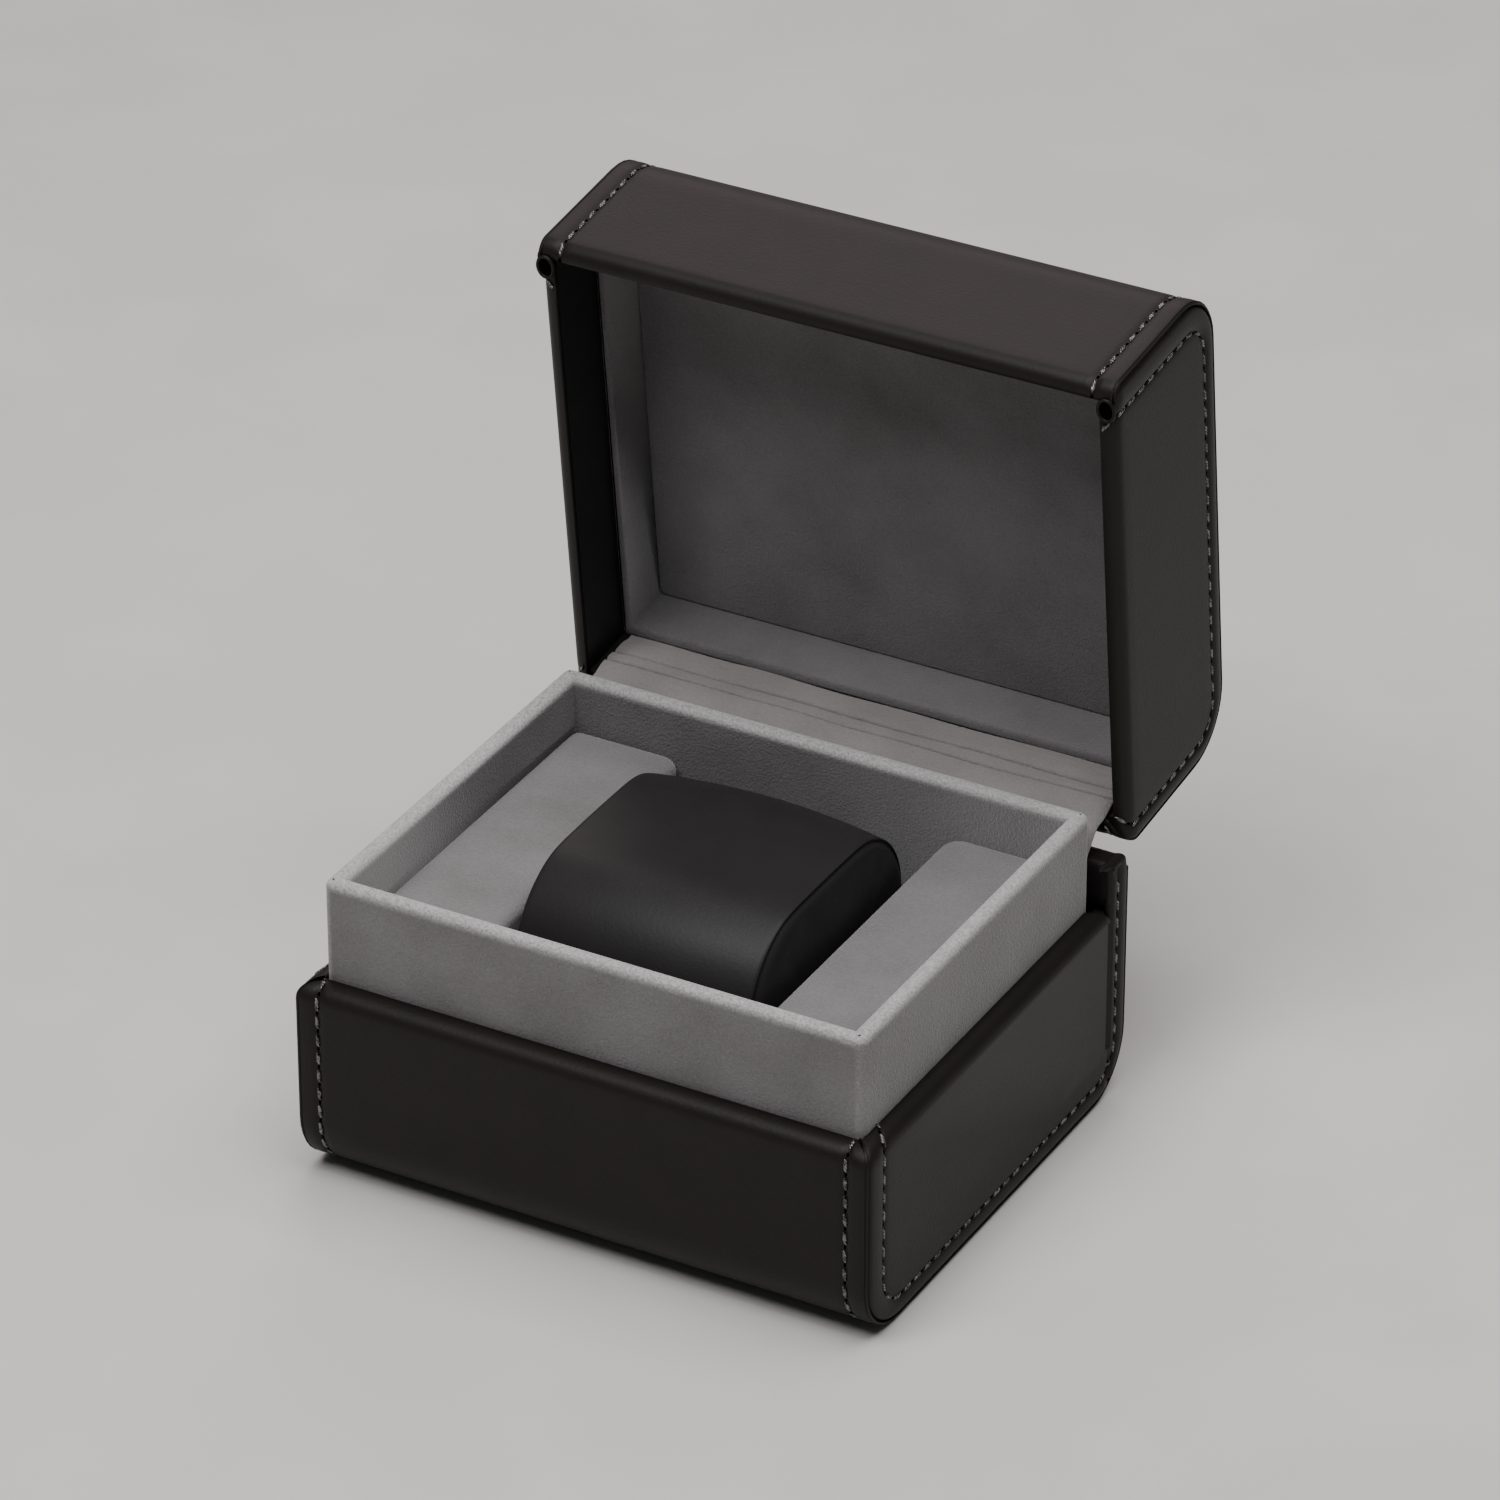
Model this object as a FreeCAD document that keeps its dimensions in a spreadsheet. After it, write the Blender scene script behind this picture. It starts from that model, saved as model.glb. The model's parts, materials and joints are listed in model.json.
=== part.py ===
import FreeCAD
import Part
import Sketcher
import math
import os
from types import SimpleNamespace

# A hinged watch box: a leatherette base with a velvet collar standing in it, a lid on a butt hinge
# shown open, and a loose cushion. Millimetres; the origin is the centre of the underside, +X to the
# right, +Y to the hinge, +Z up. The lid is drawn closed and then turned open about the hinge pin.

SIZES = {
    # outside
    "box_width": 104.0,
    "box_depth": 90.0,
    "base_height": 36.2,
    "lid_height": 35.0,
    "corner_radius": 11.0,
    "rim_radius": 2.0,
    "riser_height": 7.9,
    "riser_thickness": 6.5,
    "riser_radius": 1.5,
    "leather": 1.2,
    # base shell
    "shell_side": 1.9,
    "shell_front": 2.9,
    "shell_floor": 2.4,
    # collar, platforms and well
    "slip_gap": 0.1,
    "collar_wall": 3.0,
    "collar_rise": 18.1,
    "collar_edge": 1.2,
    "cloth_gap": 1.4,
    "platform_drop": 9.0,
    "platform_edge": 1.5,
    "platform_corner": 2.0,
    "tray_board": 2.0,
    "tray_seat": 1.0,
    "well_pad": 1.7,
    # lid shell and lining
    "lid_side_gap": 0.7,
    "lid_front_gap": 1.2,
    "lid_rear_wall": 3.3,
    "lid_roof": 2.0,
    "liner_wall": 1.5,
    "liner_rear_wall": 2.1,
    "liner_depth": 12.7,
    "liner_edge": 0.8,
    "pad_depth": 12.4,
    "pad_thickness": 2.6,
    "pad_margin": 1.0,
    # hinge
    "open_angle": 83.5,
    "hinge_inset": 0.7,
    "hinge_clearance": 0.35,
    "leaf_thickness": 0.5,
    "leaf_width": 1.9,
    "leaf_gap": 0.25,
    "knuckle_radius": 1.5,
    "knuckle_length": 14.0,
    "knuckle_gap": 0.25,
    "pin_radius": 0.7,
    "pin_play": 0.05,
    "nail_radius": 0.6,
    "nail_length": 8.0,
    "nail_pitch": 28.0,
    # hinge cloth
    "cloth_thickness": 0.8,
    "cloth_margin": 1.2,
    "cloth_tuck": 14.0,
    "cloth_end_gap": 0.4,
    "cloth_lead": 5.9,
    "fold_radius": 1.3,
    "fold_angle": 35.0,
    "cloth_bend": 3.0,
    "cloth_slope": 3.4,
    # cushion
    "cushion_length": 47.2,
    "cushion_depth": 55.2,
    "cushion_height": 42.0,
    "cushion_corner": 14.0,
    "cushion_crown": 1.6,
    "cushion_draw_in": 1.3,
    "cushion_leather": 1.2,
    "cushion_end": 2.0,
    "cushion_end_draw_in": 3.2,
    "cushion_side_gap": 1.1,
    "cushion_rest_gap": 0.3,
}
KNUCKLES = 5
NAILS = 3
FOLDS = 2
ARCS_PER_FOLD = 4

doc = FreeCAD.newDocument("watch_box")


class Dim:
    """A size that carries its value and the expression that ties it to the sheet."""

    def __init__(self, value, text):
        self.value = value
        self.text = text

    def joined(self, sign, other, value):
        return Dim(value, f"({self.text} {sign} {as_dim(other).text})")

    def __add__(self, other):
        return self.joined("+", other, self.value + as_dim(other).value)

    def __sub__(self, other):
        return self.joined("-", other, self.value - as_dim(other).value)

    def __mul__(self, other):
        return self.joined("*", other, self.value * as_dim(other).value)

    def __truediv__(self, other):
        return self.joined("/", other, self.value / as_dim(other).value)

    def __neg__(self):
        return Dim(-self.value, f"(0 - {self.text})")


def as_dim(number):
    return number if isinstance(number, Dim) else Dim(float(number), repr(float(number)))


def cosine(angle):
    return Dim(math.cos(math.radians(angle.value)), f"cos({angle.text})")


def sine(angle):
    return Dim(math.sin(math.radians(angle.value)), f"sin({angle.text})")


def make_sheet():
    sheet = doc.addObject("Spreadsheet::Sheet", "sizes")
    for row, (name, number) in enumerate(SIZES.items(), start=1):
        sheet.set(f"A{row}", name)
        sheet.set(f"B{row}", str(number))
        sheet.setAlias(f"B{row}", name)
    doc.recompute()
    return SimpleNamespace(**{name: Dim(float(sheet.get(name)), f"sizes.{name}") for name in SIZES})


size = make_sheet()
ZERO = as_dim(0)

# Planes that the pieces share, named from the outside in
skin = size.leather
side_x = size.box_width / 2
back_y = size.box_depth / 2
rim_z = size.base_height
riser_z = rim_z + size.riser_height
riser_y = back_y - size.riser_thickness
shell_x = side_x - skin
shell_y = back_y - skin

cavity_x = shell_x - size.shell_side
cavity_front = size.shell_front - shell_y
cavity_back = riser_y + skin
cavity_radius = size.corner_radius - skin - size.shell_front
floor_z = skin + size.shell_floor
tray_z = size.corner_radius - size.tray_seat

collar_x = cavity_x - size.slip_gap
collar_front = cavity_front + size.slip_gap
collar_back = riser_y - size.cloth_gap
collar_top = rim_z + size.collar_rise
tray_x = collar_x - size.collar_wall
tray_front = collar_front + size.collar_wall
tray_back = collar_back - size.collar_wall
tray_y = (tray_front + tray_back) / 2
platform_top = collar_top - size.platform_drop
well_x = size.cushion_length / 2 + size.cushion_side_gap
tray_floor = tray_z + size.tray_board
well_z = tray_floor + size.well_pad

hinge_y = back_y - size.hinge_inset
hinge_z = riser_z + size.leaf_thickness + size.leaf_gap / 2
lid_rim = riser_z + size.leaf_thickness * 2 + size.leaf_gap
lid_top = lid_rim + size.lid_height
lid_x = collar_x + size.lid_side_gap
lid_front = collar_front - size.lid_front_gap
lid_back = shell_y - size.lid_rear_wall
roof_z = lid_top - skin - size.lid_roof
lid_radius = size.corner_radius - skin - size.lid_rear_wall
liner_x = lid_x - size.liner_wall
liner_front = lid_front + size.liner_wall
liner_back = lid_back - size.liner_rear_wall
liner_z = lid_rim + size.liner_depth
pad_z = lid_top - size.pad_depth

leaf_y = hinge_y - size.knuckle_radius - size.hinge_clearance
nail_y = leaf_y - size.leaf_width / 2
hinge_length = size.knuckle_length * KNUCKLES


def bind(target, prop, value):
    target.setExpression(prop, value.text)


def bind_base(target, x, y, z):
    target.Placement.Base = FreeCAD.Vector(x.value, y.value, z.value)
    bind(target, "Placement.Base.x", x)
    bind(target, "Placement.Base.y", y)
    bind(target, "Placement.Base.z", z)


def turn_open(piece):
    """Turn a piece drawn on the closed lid to the open lid, about the hinge pin."""
    cos_open = cosine(size.open_angle)
    sin_open = sine(size.open_angle)
    piece.Placement = FreeCAD.Placement(FreeCAD.Vector(), FreeCAD.Rotation(FreeCAD.Vector(-1, 0, 0), 45))
    bind(piece, "Placement.Rotation.Angle", size.open_angle)
    bind(piece, "Placement.Base.y", hinge_y - (cos_open * hinge_y + sin_open * hinge_z))
    bind(piece, "Placement.Base.z", hinge_z - (cos_open * hinge_z - sin_open * hinge_y))
    return piece


def outline_sketch(body, plane_role, points, level):
    """A closed outline of level and upright lines, each tied to its place, at a level of the plane."""
    plane = [item for item in body.Origin.OriginFeatures if item.Role == plane_role][0]
    sketch = body.newObject("Sketcher::SketchObject", body.Name + "_outline")
    sketch.AttachmentSupport = (plane, [""])
    sketch.MapMode = "FlatFace"
    bind(sketch, "AttachmentOffset.Base.z", level)
    seeds = [FreeCAD.Vector(across.value, up.value, 0) for across, up in points]
    count = len(seeds)
    for index in range(count):
        sketch.addGeometry(Part.LineSegment(seeds[index], seeds[(index + 1) % count]))
    for index, (across, up) in enumerate(points):
        following = (index + 1) % count
        sketch.addConstraint(Sketcher.Constraint("Coincident", index, 2, following, 1))
        upright = abs(seeds[index].x - seeds[following].x) < abs(seeds[index].y - seeds[following].y)
        sketch.addConstraint(Sketcher.Constraint("Vertical" if upright else "Horizontal", index))
        place = across if upright else up
        if place is ZERO:
            sketch.addConstraint(Sketcher.Constraint("PointOnObject", index, 1, -1))
            continue
        kind = "DistanceX" if upright else "DistanceY"
        number = sketch.addConstraint(Sketcher.Constraint(kind, -1, 1, index, 1, place.value))
        bind(sketch, f"Constraints[{number}]", place)
    return sketch


def add_pad(body, plane_role, points, start, end):
    pad = body.newObject("PartDesign::Pad", body.Name + "_pad")
    pad.Profile = outline_sketch(body, plane_role, points, start)
    bind(pad, "Length", end - start)
    doc.recompute()
    return pad


def rectangle(first, second):
    return [(first[0], second[0]), (first[1], second[0]), (first[1], second[1]), (first[0], second[1])]


def add_pocket(body, points, start, end):
    """Cut a level outline away, upwards from one level to another."""
    before = body.Tip.Shape.Volume
    pocket = body.newObject("PartDesign::Pocket", body.Name + "_pocket")
    pocket.Profile = outline_sketch(body, "XY_Plane", points, start)
    bind(pocket, "Length", end - start)
    pocket.Reversed = True
    doc.recompute()
    if pocket.Shape.Volume >= before:
        raise RuntimeError(f"the pocket in {body.Name} cuts nothing")
    return pocket


def edges_along(shape, axis, places):
    """Names of the straight edges along one axis whose other two coordinates are at the places."""
    others = [index for index in range(3) if index != axis]
    names = []
    for number, edge in enumerate(shape.Edges, start=1):
        start, end = edge.Vertexes[0].Point, edge.Vertexes[-1].Point
        if any(abs(start[index] - end[index]) > 1e-6 for index in others):
            continue
        for place in places:
            if all(abs(start[index] - spot.value) < 1e-4 for index, spot in zip(others, place)):
                names.append(f"Edge{number}")
    return names


def edges_at_height(shape, height):
    names = []
    for number, edge in enumerate(shape.Edges, start=1):
        box = edge.BoundBox
        if abs(box.ZMin - height.value) < 1e-4 and abs(box.ZMax - height.value) < 1e-4:
            names.append(f"Edge{number}")
    return names


def add_fillet(body, radius, names):
    sharp = body.Tip
    fillet = body.newObject("PartDesign::Fillet", body.Name + "_fillet")
    fillet.Base = (sharp, names)
    bind(fillet, "Radius", radius)
    doc.recompute()
    return fillet


def new_body(name):
    return doc.addObject("PartDesign::Body", name)


def board(name, x, y, z):
    """A plain board or block between pairs of planes."""
    body = new_body(name)
    add_pad(body, "XY_Plane", rectangle(x, y), z[0], z[1])
    return body


def mirrored(pair):
    return (-pair[1], -pair[0])


def make_base_shell():
    body = new_body("base_shell")
    rim = rim_z - skin
    points = [(-shell_y, skin), (shell_y, skin), (shell_y, riser_z - skin), (cavity_back, riser_z - skin),
              (cavity_back, rim), (-shell_y, rim)]
    add_pad(body, "YZ_Plane", points, -shell_x, shell_x)
    add_pocket(body, rectangle((-cavity_x, cavity_x), (cavity_front, cavity_back)), floor_z, riser_z)
    inner_corners = [(cavity_front, floor_z), (cavity_back, floor_z)]
    add_fillet(body, cavity_radius, edges_along(body.Shape, 0, inner_corners))
    corners = [(-shell_y, skin), (shell_y, skin)]
    add_fillet(body, size.corner_radius - skin, edges_along(body.Shape, 0, corners))
    return with_cuts(body, "base_shell", nails("base_shell", riser_z + size.leaf_thickness, -size.nail_length))


def make_base_wrap():
    body = new_body("base_wrap")
    rim = rim_z - skin
    top = riser_z - skin
    points = [(-back_y, ZERO), (back_y, ZERO), (back_y, riser_z), (riser_y, riser_z), (riser_y, rim_z),
              (cavity_back, rim_z), (cavity_back, top), (shell_y, top), (shell_y, skin), (-shell_y, skin),
              (-shell_y, rim), (cavity_front, rim), (cavity_front, rim_z), (-back_y, rim_z)]
    add_pad(body, "YZ_Plane", points, -side_x, side_x)
    add_fillet(body, size.corner_radius,
               edges_along(body.Shape, 0, [(-back_y, ZERO), (back_y, ZERO)]))
    add_fillet(body, size.corner_radius - skin,
               edges_along(body.Shape, 0, [(-shell_y, skin), (shell_y, skin)]))
    add_fillet(body, size.rim_radius, edges_along(body.Shape, 0, [(-back_y, rim_z)]))
    add_fillet(body, size.riser_radius,
               edges_along(body.Shape, 0, [(riser_y, riser_z), (back_y, riser_z)]))
    cuts = nails("base_wrap", riser_z + size.leaf_thickness, -size.nail_length) + [hinge_groove("base_wrap")]
    return with_cuts(body, "base_wrap", cuts)


def make_side(name, points, flange, corners, hand):
    """A side panel in the frame of the wrap, on a flange that is turned over the rim."""
    body = new_body(name)
    plate = (shell_x, side_x)
    turned_x, turned_y, turned_z, rim = flange
    across = (turned_x, side_x)
    outer = side_x
    if hand < 0:
        plate, across, outer = mirrored(plate), mirrored(across), -side_x
    add_pad(body, "XY_Plane", rectangle(across, turned_y), turned_z[0], turned_z[1])
    add_fillet(body, skin - size.slip_gap, edges_along(body.Shape, 1, [(outer, rim)]))
    add_pad(body, "YZ_Plane", points, plate[0], plate[1])
    add_fillet(body, size.corner_radius - skin, edges_along(body.Shape, 0, corners))
    return body


def make_base_side(name, hand):
    rim = rim_z - skin
    top = riser_z - skin
    points = [(-shell_y, skin), (shell_y, skin), (shell_y, top), (cavity_back, top), (cavity_back, rim),
              (-shell_y, rim)]
    corners = [(-shell_y, skin), (shell_y, skin)]
    flange = (cavity_x, (cavity_front, cavity_back), (rim, rim_z), rim_z)
    return make_side(name, points, flange, corners, hand)


def make_lid_side(name, hand):
    rim = lid_rim + skin
    top = lid_top - skin
    corners = [(-shell_y, top), (shell_y, top)]
    flange = (lid_x, (lid_front, lid_back), (lid_rim, rim), lid_rim)
    return turn_open(make_side(name, rectangle((-shell_y, shell_y), (rim, top)), flange, corners, hand))


def make_collar():
    low = tray_floor
    front = board("collar_front", (-collar_x, collar_x), (collar_front, tray_front), (low, collar_top))
    back = board("collar_back", (-collar_x, collar_x), (tray_back, collar_back), (low, collar_top))
    left = board("collar_left", (-collar_x, -tray_x), (tray_front, tray_back), (low, collar_top))
    right = board("collar_right", (tray_x, collar_x), (tray_front, tray_back), (low, collar_top))
    for body, outer in ((front, collar_front), (back, collar_back)):
        upright = edges_along(body.Shape, 2, [(-collar_x, outer), (collar_x, outer)])
        add_fillet(body, size.collar_edge, upright)
    long_edges = {front: (0, (collar_front, tray_front)), back: (0, (tray_back, collar_back)),
                  left: (1, (-collar_x, -tray_x)), right: (1, (tray_x, collar_x))}
    for body, (axis, sides) in long_edges.items():
        names = edges_along(body.Shape, axis, [(side, collar_top) for side in sides])
        add_fillet(body, size.collar_edge, names)
    return [front, back, left, right]


def make_platform(name, hand):
    x = (well_x, tray_x - size.slip_gap)
    y = (tray_front + size.slip_gap, tray_back - size.slip_gap)
    body = board(name, x if hand > 0 else mirrored(x), y, (tray_floor, platform_top))
    well_side = well_x if hand > 0 else -well_x
    add_fillet(body, size.platform_corner, edges_along(body.Shape, 2, [(well_side, side) for side in y]))
    add_fillet(body, size.platform_edge, edges_at_height(body.Shape, platform_top))
    return body


def make_floors():
    """The tray's board, seated on the shell's round corners, and the pad in the well."""
    tray = board("tray_board", (-collar_x, collar_x), (collar_front, collar_back), (tray_z, tray_floor))
    x = well_x - size.slip_gap
    y = (tray_front + size.slip_gap, tray_back - size.slip_gap)
    return [tray, board("well_floor", (-x, x), y, (tray_floor, well_z))]


def make_lid_shell():
    body = new_body("lid_shell")
    points = rectangle((-shell_y, shell_y), (lid_rim + skin, lid_top - skin))
    add_pad(body, "YZ_Plane", points, -shell_x, shell_x)
    add_pocket(body, rectangle((-lid_x, lid_x), (lid_front, lid_back)), lid_rim, roof_z)
    inner_corners = [(lid_front, roof_z), (lid_back, roof_z)]
    add_fillet(body, lid_radius, edges_along(body.Shape, 0, inner_corners))
    corners = [(-shell_y, lid_top - skin), (shell_y, lid_top - skin)]
    add_fillet(body, size.corner_radius - skin, edges_along(body.Shape, 0, corners))
    cuts = nails("lid_shell", hinge_z + size.leaf_gap / 2, size.nail_length)
    return turn_open(with_cuts(body, "lid_shell", cuts))


def make_lid_wrap():
    body = new_body("lid_wrap")
    rim = lid_rim + skin
    top = lid_top - skin
    points = [(-back_y, lid_rim), (lid_front, lid_rim), (lid_front, rim), (-shell_y, rim), (-shell_y, top),
              (shell_y, top), (shell_y, rim), (lid_back, rim), (lid_back, lid_rim), (back_y, lid_rim),
              (back_y, lid_top), (-back_y, lid_top)]
    add_pad(body, "YZ_Plane", points, -side_x, side_x)
    add_fillet(body, size.corner_radius,
               edges_along(body.Shape, 0, [(-back_y, lid_top), (back_y, lid_top)]))
    add_fillet(body, size.corner_radius - skin,
               edges_along(body.Shape, 0, [(-shell_y, top), (shell_y, top)]))
    add_fillet(body, size.rim_radius, edges_along(body.Shape, 0, [(-back_y, lid_rim)]))
    add_fillet(body, size.riser_radius, edges_along(body.Shape, 0, [(back_y, lid_rim)]))
    cuts = nails("lid_wrap", hinge_z + size.leaf_gap / 2, size.nail_length) + [hinge_groove("lid_wrap")]
    return turn_open(with_cuts(body, "lid_wrap", cuts))


def make_lid_lining():
    ends = (lid_front, lid_back)
    height = (liner_z, pad_z)
    left = board("lid_liner_left", (-lid_x, -liner_x), ends, height)
    right = board("lid_liner_right", (liner_x, lid_x), ends, height)
    front = board("lid_liner_front", (-liner_x, liner_x), (lid_front, liner_front), height)
    back = board("lid_liner_back", (-liner_x, liner_x), (liner_back, lid_back), height)
    pad_ends = (lid_front + size.pad_margin, lid_back - size.pad_margin)
    pad = board("lid_pad", (-lid_x, lid_x), pad_ends, (pad_z, pad_z + size.pad_thickness))
    inner_edges = {left: (1, -liner_x), right: (1, liner_x), front: (0, liner_front), back: (0, liner_back)}
    for body, (axis, side) in inner_edges.items():
        add_fillet(body, size.liner_edge, edges_along(body.Shape, axis, [(side, liner_z)]))
    return [turn_open(body) for body in (left, right, front, back, pad)]


def box(name, x, y, z):
    block = doc.addObject("Part::Box", name)
    bind(block, "Length", x[1] - x[0])
    bind(block, "Width", y[1] - y[0])
    bind(block, "Height", z[1] - z[0])
    bind_base(block, x[0], y[0], z[0])
    return block


def rod(name, radius, start, end):
    """A round bar along the hinge pin's axis."""
    bar = doc.addObject("Part::Cylinder", name)
    bind(bar, "Radius", radius)
    bind(bar, "Height", end - start)
    bar.Placement.Rotation = FreeCAD.Rotation(FreeCAD.Vector(0, 1, 0), 90)
    bind_base(bar, start, hinge_y, hinge_z)
    return bar


def hinge_groove(owner):
    """Room for the knuckles in the leatherette behind the rims."""
    reach = hinge_length / 2 + size.hinge_clearance
    return rod(owner + "_groove", size.knuckle_radius + size.hinge_clearance, -reach, reach)


def nails(owner, head, length):
    """Nails through the hinge leaf into the wall; a negative length points down."""
    made = []
    for number in range(NAILS):
        nail = doc.addObject("Part::Cylinder", f"{owner}_nail_{number + 1}")
        bind(nail, "Radius", size.nail_radius)
        bind(nail, "Height", size.nail_length)
        place = size.nail_pitch * (number - (NAILS - 1) / 2)
        bind_base(nail, place, nail_y, head if length.value > 0 else head + length)
        made.append(nail)
    return made


def with_cuts(base, label, tools):
    """The base with every tool cut away, under the sub-part's own label."""
    base.Label = label + "_blank"
    joined = doc.addObject("Part::MultiFuse", label + "_cuts")
    joined.Shapes = tools
    cut = doc.addObject("Part::Cut", label + "_cut")
    cut.Base = base
    cut.Tool = joined
    cut.Label = label
    return cut


def make_leaf(name, knuckle_numbers, leaf_low, bore):
    """A hinge leaf on a rim: a plate, tongues to the pin and the knuckles at their turns."""
    leaf_z = (leaf_low, leaf_low + size.leaf_thickness)
    plate = box(name + "_plate", (-hinge_length / 2, hinge_length / 2), (leaf_y - size.leaf_width, leaf_y), leaf_z)
    solids = [plate]
    for number in knuckle_numbers:
        start = size.knuckle_length * (number - KNUCKLES / 2) + size.knuckle_gap / 2
        end = start + size.knuckle_length - size.knuckle_gap
        solids.append(box(f"{name}_tongue_{number}", (start, end), (leaf_y, hinge_y), leaf_z))
        solids.append(rod(f"{name}_knuckle_{number}", size.knuckle_radius, start, end))
    joined = doc.addObject("Part::MultiFuse", name + "_blank")
    joined.Shapes = solids
    pin_hole = rod(name + "_bore", bore, -hinge_length, hinge_length)
    return with_cuts(joined, name, [pin_hole] + nails(name, leaf_low - size.nail_length / 2, size.nail_length))


def make_nails(label, head, length):
    group = doc.addObject("Part::Compound", label + "_group")
    group.Links = nails(label, head, length)
    group.Label = label
    return group


def make_hinge():
    base_leaf = make_leaf("hinge_leaf_base", range(0, KNUCKLES, 2), riser_z, size.pin_radius)
    lid_leaf = make_leaf("hinge_leaf_lid", range(1, KNUCKLES, 2), hinge_z + size.leaf_gap / 2,
                         size.pin_radius + size.pin_play)
    pin = rod("hinge_pin", size.pin_radius, -hinge_length / 2, hinge_length / 2)
    base_nails = make_nails("hinge_nails_base", riser_z + size.leaf_thickness, -size.nail_length)
    lid_nails = make_nails("hinge_nails_lid", hinge_z + size.leaf_gap / 2, size.nail_length)
    return [base_leaf, pin, base_nails, turn_open(lid_leaf), turn_open(lid_nails)]


def ribbon_face(start, heading, steps, thickness):
    """A strip of even thickness along straight runs and arcs, as a face in the YZ plane.

    Each step is (length, None) for a run or (radius, turn) for an arc, the turn in degrees to the left.
    """
    y, z = start
    angle = math.radians(heading)
    half = thickness / 2

    def spot(py, pz, direction, offset):
        return FreeCAD.Vector(0, py - offset * math.sin(direction), pz + offset * math.cos(direction))

    sides = {half: [], -half: []}
    for length, turn in steps:
        begin = (y, z, angle)
        if turn is None:
            y, z = y + length * math.cos(angle), z + length * math.sin(angle)
            for offset, edges in sides.items():
                edges.append(Part.LineSegment(spot(*begin, offset), spot(y, z, angle, offset)).toShape())
            continue
        side = math.copysign(1, turn)
        centre = (y - side * length * math.sin(angle), z + side * length * math.cos(angle))
        marks = []
        for part in (0, 0.5, 1):
            bearing = angle + math.radians(turn) * part
            marks.append((centre[0] + side * length * math.sin(bearing),
                          centre[1] - side * length * math.cos(bearing), bearing))
        for offset, edges in sides.items():
            edges.append(Part.Arc(*[spot(*mark, offset) for mark in marks]).toShape())
        y, z, angle = marks[-1]
    left, right = sides[half], sides[-half]
    ends = [Part.LineSegment(left[0].firstVertex().Point, right[0].firstVertex().Point).toShape(),
            Part.LineSegment(left[-1].lastVertex().Point, right[-1].lastVertex().Point).toShape()]
    return Part.Face(Part.Wire(Part.__sortEdges__(left + right + ends)))


def make_hinge_cloth():
    """The velvet strip from the lid's lining, over its folds, down between the collar and the riser."""
    opened = math.radians(size.open_angle.value)
    thickness = size.cloth_thickness.value
    reach = lid_back.value - thickness / 2 - size.slip_gap.value - hinge_y.value
    rise = liner_z.value - size.cloth_end_gap.value - hinge_z.value
    start = (hinge_y.value + reach * math.cos(opened) + rise * math.sin(opened),
             hinge_z.value - reach * math.sin(opened) + rise * math.cos(opened))
    lean = 90 - size.open_angle.value
    fold, bend = size.fold_angle.value, size.cloth_bend.value
    radius = size.fold_radius.value
    half_turn = size.open_angle.value / 2
    slant = math.radians(180 + lean + half_turn)
    target = collar_back.value + size.cloth_gap.value / 2
    folds_reach = FOLDS * ARCS_PER_FOLD * radius * math.sin(math.radians(fold)) * math.sin(opened)
    bends_reach = bend * (1 - math.cos(opened))
    slope_reach = -size.cloth_slope.value * math.cos(slant)
    run = (start[0] - target - folds_reach - bends_reach - slope_reach) / math.sin(opened)
    lead = size.cloth_lead.value
    wave = [(radius, 2 * fold), (radius, -2 * fold)]
    folds = [(radius, -fold), *wave * (FOLDS - 1), (radius, 2 * fold), (radius, -fold)]
    steps = [(lead, None), *folds, (run - lead, None), (bend, half_turn), (size.cloth_slope.value, None),
             (bend, half_turn), (size.cloth_tuck.value, None)]
    face = ribbon_face(start, 180 + lean, steps, thickness)
    half = collar_x.value - size.cloth_margin.value
    strip = doc.addObject("Part::Feature", "hinge_cloth")
    strip.Shape = face.extrude(FreeCAD.Vector(2 * half, 0, 0))
    strip.Placement = FreeCAD.Placement(FreeCAD.Vector(-half, 0, 0), FreeCAD.Rotation())
    return strip


def cushion_section(x, inset):
    """The cushion's outline across its length: four crowned sides and four round corners."""
    half_y = size.cushion_depth.value / 2 - inset
    half_z = size.cushion_height.value / 2 - inset
    corner = size.cushion_corner.value - inset
    crown = size.cushion_crown.value
    diagonal = corner * (1 - math.sqrt(0.5))

    def point(y, z):
        return FreeCAD.Vector(x, y, z)

    edges = []
    for sign_y, sign_z in ((1, 1), (-1, 1), (-1, -1), (1, -1)):
        side = point(sign_y * (half_y - crown), sign_z * (half_z - corner))
        top = point(sign_y * (half_y - corner), sign_z * (half_z - crown))
        middle = point(sign_y * (half_y - diagonal - crown / 2), sign_z * (half_z - diagonal - crown / 2))
        before, after = (side, top) if sign_y == sign_z else (top, side)
        edges.append(Part.Arc(before, middle, after).toShape())
        if sign_y == sign_z:
            across = point(-top.y, top.z)
            edges.append(Part.Arc(after, point(0, sign_z * half_z), across).toShape())
        else:
            down = point(side.y, -side.z)
            edges.append(Part.Arc(after, point(sign_y * half_y, 0), down).toShape())
    return Part.Wire(edges)


def cushion_loft(stations):
    return Part.makeLoft([cushion_section(x, inset) for x, inset in stations], True, False)


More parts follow.
